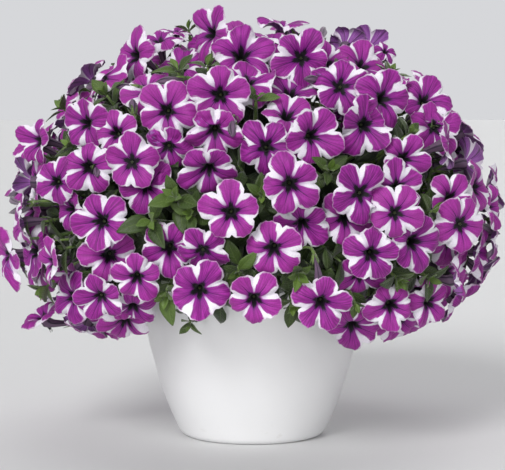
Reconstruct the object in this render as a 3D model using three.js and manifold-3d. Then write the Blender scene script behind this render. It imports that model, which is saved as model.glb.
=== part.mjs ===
// A bushy petunia in a white bowl-shaped pot. Millimetres, +Z up, the front faces -Y.
// The origin is on the surface it stands on, at the centre of the pot's flat base.
// The photographed blooms, buds and leafy tips are set by hand where they are seen, and the hidden
// sides of the bush are filled by a rule. A spray is a few blooms and buds on one stem.
import * as THREE from 'three';
import { mergeVertices } from 'three/addons/utils/BufferGeometryUtils.js';
import Module from 'manifold-3d';

const wasm = await Module();
wasm.setup();

// ---------- driving dimensions ----------
// The white bowl: half-widths of its outside at rising heights, and its plain rim.
const POT_OUTSIDE = [[64, 0], [71, 2.5], [84.5, 30], [98, 73], [107.5, 115], [111, 150]];
const POT_RIM = [[113.5, 153], [114, 160], [111.5, 161.5]];
const POT_WALL = 2.5;
const POT_FLOOR = 4;
const POT_SEGMENTS = 24;
const DRAIN_RADIUS = 5;
const DRAIN_CIRCLE = 42;
const DRAIN_COUNT = 4;

// The potting mix, which the main stems stand in.
const SOIL_TOP = 148;
const SOIL_CROWN = 151;
const MAIN_STEM_RADIUS = 5;
const MAIN_STEM_CIRCLE = 40;
const MAIN_STEM_COUNT = 4;
const MAIN_STEM_FOOT = 110;
// What the mix keeps clear of the bowl, and its holes of the stems.
const SOIL_GAP = 0.3;

// The dome on which the throats of the blooms lie, and the dense leafy core inside it.
const DOME_CENTRE = 207;
const DOME_SIDE = 240;
const DOME_UP = 200;
const DOME_DOWN = 130;
const CORE_CENTRE = 235;
const CORE_SIDE = 156;
const CORE_UP = 106;
const CORE_DOWN = 62;
const CORE_BUMP = 11;
const CORE_SEGMENTS = 18;
const CORE_RINGS = 10;
// Where stems run to inside the core: how far out at most, and how low for the low ones.
const AIM_WIDEST = 118;
const AIM_LOWEST = 218;

// A bloom: its funnel, its throat and its five-lobed face.
const TUBE_LENGTH = 32;
const THROAT_RADIUS = 6.5;
const THROAT_DEPTH = 14;
const PETAL_THICKNESS = 0.9;
// A lobe's rim has two shoulders, or where it is seen side-on or hidden one blunt tip: angles from
// its middle.
const OPEN_LOBE = [-17, 17];
const PLAIN_LOBE = [0];
const SIDE_ON = 52;
const NOTCH_REACH = 0.87;
const RIM_RISE = 0.14;
const RIM_FORWARD = 5;
const RUFFLE = 1.8;
const PEDICEL_RADIUS = 1.3;
const STEM_RADIUS = 1.9;
const KNOT_RADIUS = 3;
const STEM_SUNK = 14;
const JOINT_DEPTH = 22;
const BLOOMS_PER_SPRAY = 3;
const SPRAY_REACH = 74;
const BUD_RADIUS = 3.6;
// A small bloom has a shorter funnel, and each funnel bends this much towards the bush's middle.
const FULL_TUBE_RADIUS = 26;
const TUBE_BEND = 0.8;
// How a bloom gives way to those already there: its step, its steps at most, and who is near.
const YIELD_STEP = 3;
const YIELD_STEPS = 9;
const NEAR_BLOOMS = 70;

// Hidden sides: blooms and leafy tips per whole dome, and how near they come to the ones set by hand.
const DOME_BLOOMS = 116;
const DOME_TIPS = 46;
const BLOOM_SPACING = 43;
const TIP_SPACING = 44;
const BLOOM_RADIUS = 29;
const BACK_STARTS = -60;
const BACK_LEAN = 0.3;
const TIP_SUNK = 8;

// A leaf blade.
const LEAF_THICKNESS = 0.9;
const LEAF_WIDTH = 0.52;
const LEAF_SPREAD = 58;
const LEAF_RIB = 0.48;
const LEAF_DROOP = 0.12;
const LEAVES_PER_TIP = 3;
const LEAF_TRIES = 6;
const LEAF_REACH = 90;
const TIP_COLLAR = 2.6;
// Stations along a leaf: how far out, and its half-width there. A small leaf has one station.
const LARGE_LEAF = 30;
const LARGE_OUTLINE = [[0.3, 0.46], [0.67, 0.38]];
const SMALL_OUTLINE = [[0.4, 0.48]];

// What one solid keeps clear of another.
const CLEARANCE = 0.35;

// ---------- the photographer's eye ----------
// "across" and "up" below are millimetres in the plane through the pot's axis, as the eye sees them.
const EYE_DISTANCE = 2200;
const EYE_HEIGHT = 5;
const EYE_TARGET = new THREE.Vector3(0, 0, 200);
const EYE_ACROSS = 0.5;
const EYE_UP = 210;
const degrees = THREE.MathUtils.degToRad;
const forward = new THREE.Vector3(0, Math.cos(degrees(EYE_HEIGHT)), -Math.sin(degrees(EYE_HEIGHT)));
const upward = new THREE.Vector3(0, Math.sin(degrees(EYE_HEIGHT)), Math.cos(degrees(EYE_HEIGHT)));
const eye = EYE_TARGET.clone().addScaledVector(forward, -EYE_DISTANCE);

// ---------- blooms that the photograph shows ----------
// across, up, width, turn to the right, lift, angle of one lobe, how far it is sunk behind the dome
const SEEN_BLOOMS = [
  [-11, 389, 68, 0, 30, 90, 12], [49, 387, 60, 0, 8, 60, 6], [-32, 350, 66, -3, 0, 88, 0],
  [38, 350, 62, 5, 50, 53, 14], [14, 298, 60, 0, 5, 58, 14], [59, 309, 60, 22, 0, 48, 2],
  [38, 261, 62, 5, -5, 38, 0], [-21, 233, 62, 0, 0, 92, 0], [-43, 277, 58, -5, -35, 54, 12],
  [-37, 315, 58, 0, -25, 55, 14], [-85, 334, 60, -8, 0, 62, 4], [-120, 283, 60, -10, 5, 90, 0],
  [-106, 259, 54, 0, -10, 38, 14], [-135, 312, 50, -15, 12, 38, 10], [-165, 322, 54, -35, 5, 90, 4],
  [-116, 389, 58, -50, 5, 90, 4], [-40, 411, 56, -50, 12, 60, 6], [-92, 403, 48, -10, 68, 20, 14],
  [-77, 412, 36, 0, 75, 0, 40], [-148, 366, 52, -60, 30, 0, 6], [-163, 278, 54, -15, 0, 90, 4],
  [-195, 263, 50, -25, 0, 60, 4], [-211, 304, 50, -55, 0, 90, 2], [-222, 263, 50, -95, 0, 0, 0],
  [-180, 236, 48, -50, 0, 46, 12], [-150, 224, 62, -20, 5, 46, 0], [-143, 190, 60, 0, -5, 35, 4],
  [-83, 198, 57, -5, -5, 60, 14], [-49, 195, 56, 0, -35, 45, 10], [-53, 155, 63, -3, -8, 60, 2],
  [2, 146, 57, 0, -15, 54, 0], [21, 197, 60, -12, -15, 100, 4], [50, 222, 58, 5, -30, 35, 12],
  [93, 227, 62, 8, -15, 52, 12], [108, 252, 62, 12, 0, 56, 4], [145, 258, 53, 20, 10, 97, 6],
  [151, 286, 54, 15, 0, 60, 12], [143, 232, 56, 15, 0, 55, 0], [112, 320, 62, 20, 0, 92, 6],
  [130, 346, 62, 40, 5, 70, 0], [88, 358, 60, 10, 15, 80, 8], [119, 191, 62, 8, -10, 14, 4],
  [108, 170, 58, 8, -40, 54, 14], [160, 203, 64, 30, -3, 75, 0], [197, 203, 52, 30, -40, 54, 14],
  [208, 221, 62, 30, -5, 60, 0], [198, 246, 53, 20, 5, 55, 6], [222, 258, 56, 60, 0, 5, 2],
  [193, 300, 50, 80, 10, 30, 2], [214, 281, 52, 110, 0, 0, 8], [182, 318, 60, 25, 10, 10, 4],
  [172, 343, 56, 20, 30, 60, 10], [95, 399, 54, 150, 20, 0, 24], [118, 398, 54, 140, 30, 0, 14],
  [133, 393, 26, 30, 40, 0, 6], [148, 364, 20, 0, 80, 0, 8], [92, 335, 50, 10, -30, 0, 20],
  [-83, 299, 54, -10, -30, 0, 20], [-199, 183, 52, -70, 0, 90, 6], [-244, 190, 54, -70, 0, 90, 0],
  [-230, 222, 50, -75, -10, 0, 6], [-151, 149, 49, -10, -25, 100, 0], [-178, 148, 54, -40, -5, 60, 12],
  [-208, 127, 50, -60, 60, 0, 4], [-115, 168, 52, -3, -20, 90, 2], [-119, 139, 52, 0, -50, 90, 12],
  [69, 143, 60, 5, -15, 80, 0], [100, 120, 60, 5, -45, 50, 12], [138, 140, 55, 15, -15, 55, 8],
  [176, 143, 56, 40, -10, 30, 0], [203, 165, 50, 85, 10, 0, 6], [236, 238, 46, 70, 0, 0, 4],
  [240, 207, 46, 90, 0, 0, 4],
];

// Closed buds: across and up of the foot, then of the tip.
const SEEN_BUDS = [
  [-218, 243, -243, 232], [-112, 358, -136, 358], [-66, 367, -96, 363], [-118, 330, -120, 346],
  [-153, 358, -166, 358], [71, 366, 52, 366], [70, 403, 72, 418], [-18, 330, -19, 308],
  [62, 191, 67, 153], [223, 226, 248, 211], [-155, 284, -155, 268], [-228, 240, -240, 247],
];

// Leafy tips between the blooms: across, up, length of a leaf, how far the tip is sunk.
const SEEN_TIPS = [
  [-75, 377, 32, 6], [-45, 382, 24, 14], [-147, 352, 30, 8], [-64, 418, 24, 40], [4, 348, 30, 10],
  [90, 378, 30, 10], [139, 374, 26, 10], [187, 338, 28, 6], [183, 322, 30, 18], [78, 276, 30, 14],
  [182, 234, 30, 14], [238, 226, 26, 8], [-77, 248, 34, 8], [-102, 225, 38, 12], [-14, 172, 30, 12],
  [47, 171, 42, 12], [40, 140, 30, 16], [-87, 152, 38, 12], [-63, 119, 20, 18], [-190, 196, 32, 16],
  [-208, 156, 32, 10], [-225, 206, 26, 14], [146, 166, 32, 12], [178, 166, 32, 10], [104, 140, 24, 22],
  [-190, 338, 30, 8], [-62, 232, 26, 16], [10, 250, 26, 20], [-182, 300, 28, 14], [158, 312, 26, 16],
];

// ---------- small helpers ----------
let seed = 20210615;
function draw(low, high) {
  seed = (seed * 1664525 + 1013904223) % 4294967296;
  return low + (high - low) * (seed / 4294967296);
}

function solidFrom(points, faces) {
  const geometry = new THREE.BufferGeometry();
  const numbers = points.flatMap((point) => point.toArray());
  geometry.setAttribute('position', new THREE.Float32BufferAttribute(numbers, 3));
  geometry.setIndex(faces.flat());
  return solidOf(geometry);
}

function solidOf(geometry) {
  const bare = geometry.clone();
  bare.deleteAttribute('normal');
  bare.deleteAttribute('uv');
  const merged = mergeVertices(bare, 1e-4);
  const faces = [];
  for (let i = 0; i < merged.index.count; i += 3) {
    const [a, b, c] = [merged.index.getX(i), merged.index.getX(i + 1), merged.index.getX(i + 2)];
    if (a !== b && b !== c && c !== a) faces.push(a, b, c);
  }
  return new wasm.Manifold(new wasm.Mesh({
    numProp: 3,
    vertProperties: new Float32Array(merged.attributes.position.array),
    triVerts: new Uint32Array(faces),
  }));
}

function meshOf(name, solid, material) {
  const { vertProperties, triVerts } = solid.getMesh();
  const geometry = new THREE.BufferGeometry();
  geometry.setAttribute('position', new THREE.BufferAttribute(new Float32Array(vertProperties), 3));
  geometry.setIndex(new THREE.BufferAttribute(new Uint32Array(triVerts), 1));
  geometry.computeVertexNormals();
  const mesh = new THREE.Mesh(geometry, material);
  mesh.name = name;
  return mesh;
}

function largestPiece(solid) {
  const pieces = solid.decompose();
  return pieces.reduce((best, piece) => (piece.volume() > best.volume() ? piece : best));
}

function boxesMeet(first, second) {
  const [a, b] = [first.boundingBox(), second.boundingBox()];
  return [0, 1, 2].every((k) => a.min[k] < b.max[k] && b.min[k] < a.max[k]);
}

// Two directions square to an axis: the first near a given one, or else level and to the axis's
// right, and the second a quarter turn on from it.
function crossAxes(axis, given = null) {
  const level = new THREE.Vector3(-axis.y, axis.x, 0);
  if (given) level.copy(given).addScaledVector(axis, -axis.dot(given));
  if (level.length() < 0.05) level.set(1, 0, 0);
  level.normalize();
  const above = new THREE.Vector3().crossVectors(axis, level).normalize();
  return [level, above];
}

// A ring of points about a centre, square to an axis, counter-clockwise seen from its tip.
function ring(points, centre, axis, radius, count, start = 0, given = null) {
  const [level, above] = crossAxes(axis, given);
  const first = points.length;
  for (let k = 0; k < count; k += 1) {
    const angle = start + (2 * Math.PI * k) / count;
    const point = centre.clone();
    point.addScaledVector(level, radius * Math.cos(angle));
    point.addScaledVector(above, radius * Math.sin(angle));
    points.push(point);
  }
  return Array.from({ length: count }, (_, k) => first + k);
}

// Triangles between two rings, the lower one listed first, with their faces outward.
function bridge(faces, lower, upper) {
  let [i, j] = [0, 0];
  while (i < lower.length || j < upper.length) {
    const [a, b] = [lower[i % lower.length], upper[j % upper.length]];
    if ((i + 1) / lower.length <= (j + 1) / upper.length) {
      faces.push([a, lower[(i + 1) % lower.length], b]);
      i += 1;
    } else {
      faces.push([a, upper[(j + 1) % upper.length], b]);
      j += 1;
    }
  }
}

function rod(from, to, radius, sides, endRadius = radius) {
  const points = [];
  const faces = [];
  const axis = to.clone().sub(from).normalize();
  const low = ring(points, from, axis, radius, sides);
  const high = ring(points, to, axis, endRadius, sides);
  bridge(faces, low, high);
  for (let k = 1; k < sides - 1; k += 1) {
    faces.push([low[0], low[k + 1], low[k]], [high[0], high[k], high[k + 1]]);
  }
  return solidFrom(points, faces);
}

// ---------- places on the dome ----------
function domeRise(height) {
  return height > DOME_CENTRE ? DOME_UP : DOME_DOWN;
}

function domeOutward(place) {
  const rise = domeRise(place.z);
  const outward = new THREE.Vector3(place.x / DOME_SIDE ** 2, place.y / DOME_SIDE ** 2, 0);
  outward.z = (place.z - DOME_CENTRE) / rise ** 2;
  return outward.normalize();
}

// Where the line of sight through a place in the picture meets the dome, or passes nearest to it.
function seenPlace(across, up, sunk) {
  const sight = forward.clone().multiplyScalar(EYE_DISTANCE);
  sight.x += across - EYE_ACROSS;
  sight.addScaledVector(upward, up - EYE_UP);
  sight.normalize();
  const frontHeight = eye.z + (sight.z * (-DOME_SIDE - eye.y)) / sight.y;
  const stretch = DOME_SIDE / domeRise(frontHeight);
  const start = new THREE.Vector3(eye.x, eye.y, (eye.z - DOME_CENTRE) * stretch);
  const step = new THREE.Vector3(sight.x, sight.y, sight.z * stretch);
  const a = step.dot(step);
  const b = start.dot(step);
  const c = start.dot(start) - DOME_SIDE ** 2;
  const reach = (-b - Math.sqrt(Math.max(0, b * b - a * c))) / a;
  return { place: eye.clone().addScaledVector(sight, reach + sunk), sight, reach: reach + sunk };
}

function facingOf(turn, lift) {
  return new THREE.Vector3(
    Math.sin(degrees(turn)) * Math.cos(degrees(lift)),
    -Math.cos(degrees(turn)) * Math.cos(degrees(lift)),
    Math.sin(degrees(lift)),
  );
}

const GOLDEN_ANGLE = Math.PI * (3 - Math.sqrt(5));

// An even spiral of places over the whole dome, each shaken a little.
function domePlaces(count, lowest) {
  const places = [];
  for (let k = 0; k < count; k += 1) {
    const height = 1 - ((k + 0.5) / count) * (1 - lowest);
    const angle = k * GOLDEN_ANGLE + draw(-0.08, 0.08);
    const out = DOME_SIDE * Math.sqrt(1 - height * height);
    const z = DOME_CENTRE + height * (height > 0 ? DOME_UP : DOME_DOWN);
    places.push(new THREE.Vector3(out * Math.cos(angle), out * Math.sin(angle), z));
  }
  return places;
}

// Two flat round faces cross when their planes' common line has chords of both that overlap.
function facesCross(first, second) {
  const line = new THREE.Vector3().crossVectors(first.facing, second.facing);
  const apart = second.throat.clone().sub(first.throat);
  if (line.length() < 0.02) {
    return Math.abs(apart.dot(first.facing)) < 1.5 && apart.length() < first.radius + second.radius;
  }
  const across = new THREE.Vector3().crossVectors(line, first.facing);
  const shift = apart.dot(second.facing) / across.dot(second.facing);
  const onLine = first.throat.clone().addScaledVector(across, shift);
  line.normalize();
  const chord = (bloom) => {
    const toThroat = bloom.throat.clone().sub(onLine);
    const along = toThroat.dot(line);
    const spare = bloom.radius ** 2 - (toThroat.lengthSq() - along * along);
    return spare > 0 ? [along - Math.sqrt(spare), along + Math.sqrt(spare)] : null;
  };
  const [a, b] = [chord(first), chord(second)];
  return a !== null && b !== null && a[0] < b[1] && b[0] < a[1];
}

// ---------- blooms ----------
const blooms = [];

// A face as far forward of its throat as its rim is.
function raised(bloom) {
  const throat = bloom.throat.clone().addScaledVector(bloom.facing, RIM_FORWARD);
  return { throat, facing: bloom.facing, radius: bloom.radius };
}

// A bloom gives way, a step at a time, until its face clears the faces already there.
function settle(bloom, away) {
  for (let step = 0; step < YIELD_STEPS; step += 1) {
    const near = blooms.filter((other) => other.throat.distanceTo(bloom.throat) < NEAR_BLOOMS);
    const meets = (other) => facesCross(bloom, other) || facesCross(raised(bloom), other)
      || facesCross(bloom, raised(other));
    if (!near.some(meets)) break;
    bloom.throat.addScaledVector(away, YIELD_STEP);
  }
  const outward = domeOutward(bloom.throat);
  bloom.tube = bloom.facing.clone().addScaledVector(outward, TUBE_BEND).normalize();
  const tubeLength = TUBE_LENGTH * Math.min(1, bloom.radius / FULL_TUBE_RADIUS);
  bloom.tubeEnd = bloom.throat.clone().addScaledVector(bloom.tube, -tubeLength);
  bloom.ruffles = Array.from({ length: 10 }, () => draw(-1, 1));
  blooms.push(bloom);
}

const seenInOrder = SEEN_BLOOMS.slice().sort((a, b) => a[6] - b[6]);
for (const [across, up, width, turn, lift, roll, sunk] of seenInOrder) {
  const { place, sight, reach } = seenPlace(across, up, sunk);
  const radius = ((width / 2) * reach) / EYE_DISTANCE;
  const lobe = Math.abs(turn) > SIDE_ON ? PLAIN_LOBE : OPEN_LOBE;
  settle({ throat: place, facing: facingOf(turn, lift), radius, roll, lobe }, sight);
}

for (const place of domePlaces(DOME_BLOOMS, -0.72)) {
  const [leanAcross, leanUp] = [draw(-BACK_LEAN, BACK_LEAN), draw(-BACK_LEAN, BACK_LEAN)];
  const [roll, size] = [draw(0, 72), draw(0.88, 1.08)];
  const outward = domeOutward(place);
  const hidden = place.y > BACK_STARTS;
  const clear = blooms.every((other) => other.throat.distanceTo(place) > BLOOM_SPACING);
  if (!hidden || !clear) continue;
  const [level, above] = crossAxes(outward);
  const facing = outward.clone().addScaledVector(level, leanAcross);
  facing.addScaledVector(above, leanUp).normalize();
  const bloom = { throat: place, facing, radius: BLOOM_RADIUS * size, roll, lobe: PLAIN_LOBE };
  settle(bloom, outward.clone().negate());
}

// ---------- sprays: each takes the nearest free blooms ----------
const sprays = [];
const free = new Set(blooms);
for (const first of blooms) {
  if (!free.has(first)) continue;
  const fromFirst = (other) => other.tubeEnd.distanceTo(first.tubeEnd);
  const near = [...free].sort((a, b) => fromFirst(a) - fromFirst(b)).slice(0, BLOOMS_PER_SPRAY);
  const members = near.filter((other) => fromFirst(other) < SPRAY_REACH);
  members.forEach((member) => free.delete(member));
  const joint = new THREE.Vector3();
  members.forEach((member) => joint.addScaledVector(member.tubeEnd, 1 / members.length));
  joint.addScaledVector(domeOutward(joint), -JOINT_DEPTH);
  sprays.push({ members, joint, buds: [] });
}

for (const [footAcross, footUp, tipAcross, tipUp] of SEEN_BUDS) {
  const foot = seenPlace(footAcross, footUp, 14).place;
  const tip = seenPlace(tipAcross, tipUp, 6).place;
  const nearest = sprays.reduce((best, spray) => (
    spray.joint.distanceTo(foot) < best.joint.distanceTo(foot) ? spray : best));
  nearest.buds.push({ foot, tip });
}

// ---------- solids of the plant ----------
// The first bloom of a spray has the stem for its stalk: through the joint and down to its root.
function bloomSolid(bloom, joint, grow, root = null) {
  const { throat, facing, tube, tubeEnd, radius, roll, ruffles } = bloom;
  const [level, above] = crossAxes(facing);
  const points = [];
  const faces = [];
  const put = (reach, angle, height) => {
    const point = throat.clone().addScaledVector(facing, height);
    point.addScaledVector(level, reach * Math.cos(degrees(angle)));
    point.addScaledVector(above, reach * Math.sin(degrees(angle)));
    points.push(point);
    return points.length - 1;
  };
  const pair = (reach, angle, height, thick) => {
    const top = put(reach, angle, height + grow);
    return [top, thick + grow > 0 ? put(reach, angle, height - thick - grow) : top];
  };
  const scale = radius / BLOOM_RADIUS;
  const deep = put(0, 0, grow > 0 ? 1 : -THROAT_DEPTH * scale);
  const mouth = [];
  const under = [];
  const lobes = [];
  for (let k = 0; k < 5; k += 1) {
    const tip = roll + 72 * k;
    mouth.push(put(THROAT_RADIUS * scale + grow, tip, grow));
    under.push(put(THROAT_RADIUS * scale + 1 + grow, tip, -2.2 - grow));
    const rim = bloom.lobe.map((side, index) => {
      const height = RIM_RISE * radius + RUFFLE * ruffles[2 * k + index];
      return pair(radius + 1.5 * grow, tip + side, height, PETAL_THICKNESS);
    });
    rim.push(pair(radius * NOTCH_REACH + 2 * grow, tip + 36, 0.6 * RIM_RISE * radius, 0));
    lobes.push(rim);
  }
  const wall = (from, to) => {
    if (from[0] !== from[1]) faces.push([from[0], from[1], to[1]]);
    if (to[0] !== to[1]) faces.push([from[0], to[1], to[0]]);
  };
  for (let k = 0; k < 5; k += 1) {
    const next = (k + 1) % 5;
    const rim = lobes[k];
    const notch = rim[rim.length - 1];
    const after = lobes[next][0];
    faces.push([deep, mouth[k], mouth[next]]);
    for (let j = 0; j + 1 < rim.length; j += 1) {
      faces.push([mouth[k], rim[j][0], rim[j + 1][0]], [under[k], rim[j + 1][1], rim[j][1]]);
      wall(rim[j], rim[j + 1]);
    }
    faces.push([mouth[k], notch[0], mouth[next]], [mouth[next], notch[0], after[0]]);
    faces.push([under[k], under[next], notch[1]], [under[next], after[1], notch[1]]);
    wall(notch, after);
  }
  const turn = degrees(roll);
  const neck = ring(points, tubeEnd, tube, PEDICEL_RADIUS + 0.3 + grow, 3, turn, level);
  bridge(faces, neck, under);
  const away = tubeEnd.clone().sub(root ?? joint).normalize();
  let foot = ring(points, joint, away, (root ? KNOT_RADIUS : PEDICEL_RADIUS) + grow, 3, turn, level);
  bridge(faces, foot, neck);
  if (root) {
    const knot = foot;
    foot = ring(points, root, joint.clone().sub(root).normalize(), STEM_RADIUS + grow, 3, turn, level);
    bridge(faces, foot, knot);
  }
  faces.push([foot[0], foot[2], foot[1]]);
  return solidFrom(points, faces);
}

function budSolid({ foot, tip }, joint, grow) {
  const points = [];
  const faces = [];
  const axis = tip.clone().sub(foot).normalize();
  const away = foot.clone().sub(joint).normalize();
  const [level] = crossAxes(axis);
  const start = ring(points, joint, away, PEDICEL_RADIUS + grow, 3, 0, level);
  const neck = ring(points, foot, axis, PEDICEL_RADIUS + grow, 3, 0, level);
  const belly = ring(points, foot.clone().lerp(tip, 0.62), axis, BUD_RADIUS + grow, 3, 0, level);
  points.push(tip.clone().addScaledVector(axis, 2 * grow));
  bridge(faces, start, neck);
  bridge(faces, neck, belly);
  for (let k = 0; k < 3; k += 1) faces.push([belly[k], belly[(k + 1) % 3], points.length - 1]);
  faces.push([start[0], start[2], start[1]]);
  return solidFrom(points, faces);
}

function insideCore(place) {
  const rise = place.z > CORE_CENTRE ? CORE_UP : CORE_DOWN;
  const side = (place.x ** 2 + place.y ** 2) / CORE_SIDE ** 2;
  return side + ((place.z - CORE_CENTRE) / rise) ** 2 < 1;
}

// A stem's root: from the joint towards a place inside the core, a little way past its surface.
function rootOf(joint) {
  const out = Math.hypot(joint.x, joint.y);
  const inner = Math.min(0.6 * out, AIM_WIDEST) / Math.max(out, 1);
  const aim = new THREE.Vector3(joint.x * inner, joint.y * inner, AIM_LOWEST);
  if (joint.z > CORE_CENTRE) aim.z = CORE_CENTRE + 0.4 * (joint.z - CORE_CENTRE);
  const inward = aim.sub(joint).normalize();
  const root = joint.clone();
  for (let step = 0; step < 90 && !insideCore(root); step += 1) root.addScaledVector(inward, 2);
  return root.addScaledVector(inward, STEM_SUNK);
}

function spraySolid({ members, joint, buds }, grow) {
  const [first, ...others] = members;
  let spray = bloomSolid(first, joint, grow, rootOf(joint));
  for (const bloom of others) spray = spray.add(bloomSolid(bloom, joint, grow));
  for (const bud of buds) spray = spray.add(budSolid(bud, joint, grow));
  return spray;
}

// Whether a straight line from one place to another goes through a bloom's face.
function pierces(bloom, from, to) {
  const before = from.clone().sub(bloom.throat).dot(bloom.facing);
  const after = to.clone().sub(bloom.throat).dot(bloom.facing);
  if (before * after > 0) return false;
  const crossing = from.clone().lerp(to, before / (before - after));
  return crossing.distanceTo(bloom.throat) < bloom.radius + 2;
}

// The leaves of a tip: each turns, closes up and shortens until it clears the faces of the blooms.
function leavesOf(place, length) {
  const outward = domeOutward(place);
  const [level, above] = crossAxes(outward);
  const near = blooms.filter((bloom) => bloom.throat.distanceTo(place) < LEAF_REACH);
  const start = draw(0, 120);
  const leaves = [];
  for (let k = 0; k < LEAVES_PER_TIP; k += 1) {
    const size = length * draw(0.85, 1.1);
    const leaf = {};
    for (let attempt = 0; attempt < LEAF_TRIES; attempt += 1) {
      leaf.length = size * (1 - 0.13 * attempt);
      leaf.angle = degrees(start + 120 * k + draw(-12, 12) * (1 + 0.6 * attempt));
      const spread = degrees(LEAF_SPREAD + draw(-14, 14) - 5 * attempt);
      leaf.along = outward.clone().multiplyScalar(Math.cos(spread));
      leaf.along.addScaledVector(level, Math.sin(spread) * Math.cos(leaf.angle));
      leaf.along.addScaledVector(above, Math.sin(spread) * Math.sin(leaf.angle));
      leaf.side = new THREE.Vector3().crossVectors(outward, leaf.along).normalize();
      const tip = place.clone().addScaledVector(leaf.along, leaf.length);
      const edges = [-1, 1].map((hand) => place.clone().addScaledVector(leaf.along, 0.45 * leaf.length)
        .addScaledVector(leaf.side, hand * 0.5 * LEAF_WIDTH * leaf.length));
      const meets = (bloom) => pierces(bloom, place, tip) || edges.some((edge) => (
        pierces(bloom, place, edge) || pierces(bloom, edge, tip)));
      if (!near.some(meets)) break;
    }
    leaves.push(leaf);
  }
  return leaves;
}

// A leafy tip in one closed skin: a shoot out of the core, and leaves that share a collar round it.
function tipSolid(place, length, outline) {
  const outward = domeOutward(place);
  const [level, above] = crossAxes(outward);
  const leaves = leavesOf(place, length);
  const root = rootOf(place);
  const points = [];
  const faces = [];
  const round = (reach, angle, height) => {
    const point = place.clone().addScaledVector(outward, height);
    point.addScaledVector(level, reach * Math.cos(angle));
    point.addScaledVector(above, reach * Math.sin(angle));
    return points.push(point) - 1;
  };
  const crown = round(0, 0, 1.5);
  const count = leaves.length;
  const collar = leaves.map((leaf, k) => {
    const before = leaves[(k + count - 1) % count].angle - (k === 0 ? 2 * Math.PI : 0);
    return round(TIP_COLLAR, (before + leaf.angle) / 2, 0);
  });
  const below = leaves.map((leaf) => round(STEM_RADIUS, leaf.angle, -2.5));
  leaves.forEach(({ along, side, length: reach }, k) => {
    const normal = new THREE.Vector3().crossVectors(along, side).normalize();
    const put = (out, half, lift) => {
      const point = place.clone().addScaledVector(along, out * reach);
      point.addScaledVector(side, half * LEAF_WIDTH * reach);
      point.addScaledVector(normal, lift);
      return points.push(point) - 1;
    };
    const thick = LEAF_THICKNESS / 2;
    const pair = (out, half, lift) => (
      [thick, -thick].map((skin) => put(out, half, lift * reach + skin)));
    const rib = pair(LEAF_RIB, 0, 0.02);
    const tip = put(1, 0, -LEAF_DROOP * reach);
    const right = outline.map(([out, half]) => pair(out, -half, 0.09));
    const left = outline.map(([out, half]) => pair(out, half, 0.09)).reverse();
    const next = collar[(k + 1) % count];
    const edge = [[collar[k], collar[k]], ...right, [tip, tip], ...left, [next, next]];
    faces.push([rib[0], crown, collar[k]], [rib[0], next, crown]);
    faces.push([rib[1], collar[k], below[k]], [rib[1], below[k], next]);
    for (let j = 0; j + 1 < edge.length; j += 1) {
      const [[top, bottom], [topNext, bottomNext]] = [edge[j], edge[j + 1]];
      faces.push([rib[0], top, topNext], [rib[1], bottomNext, bottom]);
      if (top !== bottom) faces.push([top, bottom, bottomNext]);
      if (topNext !== bottomNext) faces.push([top, bottomNext, topNext]);
    }
    faces.push([next, below[k], below[(k + 1) % count]]);
  });
  const shoot = place.clone().sub(root).normalize();
  const foot = ring(points, root, shoot, STEM_RADIUS, count, leaves[0].angle, level);
  bridge(faces, foot, below);
  faces.push([foot[0], foot[2], foot[1]]);
  return solidFrom(points, faces);
}

// ---------- the pot, the mix and the bush ----------
function latheSolid(profile, segments) {
  const outline = profile.map(([out, height]) => new THREE.Vector2(out, height));
  return solidOf(new THREE.LatheGeometry(outline, segments).rotateX(Math.PI / 2));
}

function uprightRod(out, angle, low, high, radius, sides) {
  const foot = new THREE.Vector3(out * Math.cos(angle), out * Math.sin(angle), low);
  return rod(foot, new THREE.Vector3(foot.x, foot.y, high), radius, sides);
}

function insideWall(clear) {
  return POT_OUTSIDE.slice(2).map(([out, height]) => [out - POT_WALL - clear, height]);
}

function potSolid() {
  const inside = [...insideWall(0).reverse(), [POT_OUTSIDE[1][0] - POT_WALL + 1, POT_FLOOR]];
  let pot = latheSolid([[0, 0], ...POT_OUTSIDE, ...POT_RIM, ...inside, [0, POT_FLOOR]], POT_SEGMENTS);
  for (let k = 0; k < DRAIN_COUNT; k += 1) {
    const angle = (2 * Math.PI * (k + 0.5)) / DRAIN_COUNT;
    pot = pot.subtract(uprightRod(DRAIN_CIRCLE, angle, -1, POT_FLOOR + 1, DRAIN_RADIUS, 8));
  }
  return pot;
}

const mainStemAngles = Array.from(
  { length: MAIN_STEM_COUNT },
  (_, k) => (2 * Math.PI * (k + 0.25)) / MAIN_STEM_COUNT,
);

function soilSolid() {
  const [belowTop, top] = POT_OUTSIDE.slice(-2);
  const share = (SOIL_TOP - belowTop[1]) / (top[1] - belowTop[1]);
  const edge = belowTop[0] + share * (top[0] - belowTop[0]) - POT_WALL - SOIL_GAP;
  const foot = [POT_OUTSIDE[1][0] - POT_WALL + 1 - SOIL_GAP, POT_FLOOR + SOIL_GAP];
  const wall = insideWall(SOIL_GAP).slice(0, -1);
  const outline = [[0, foot[1]], foot, ...wall, [edge, SOIL_TOP], [0, SOIL_CROWN]];
  let soil = latheSolid(outline, POT_SEGMENTS);
  const hole = MAIN_STEM_RADIUS + SOIL_GAP;
  for (const angle of mainStemAngles) {
    const [low, high] = [MAIN_STEM_FOOT - SOIL_GAP, SOIL_CROWN + 5];
    soil = soil.subtract(uprightRod(MAIN_STEM_CIRCLE, angle, low, high, hole, 6));
  }
  return soil;
}

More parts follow.
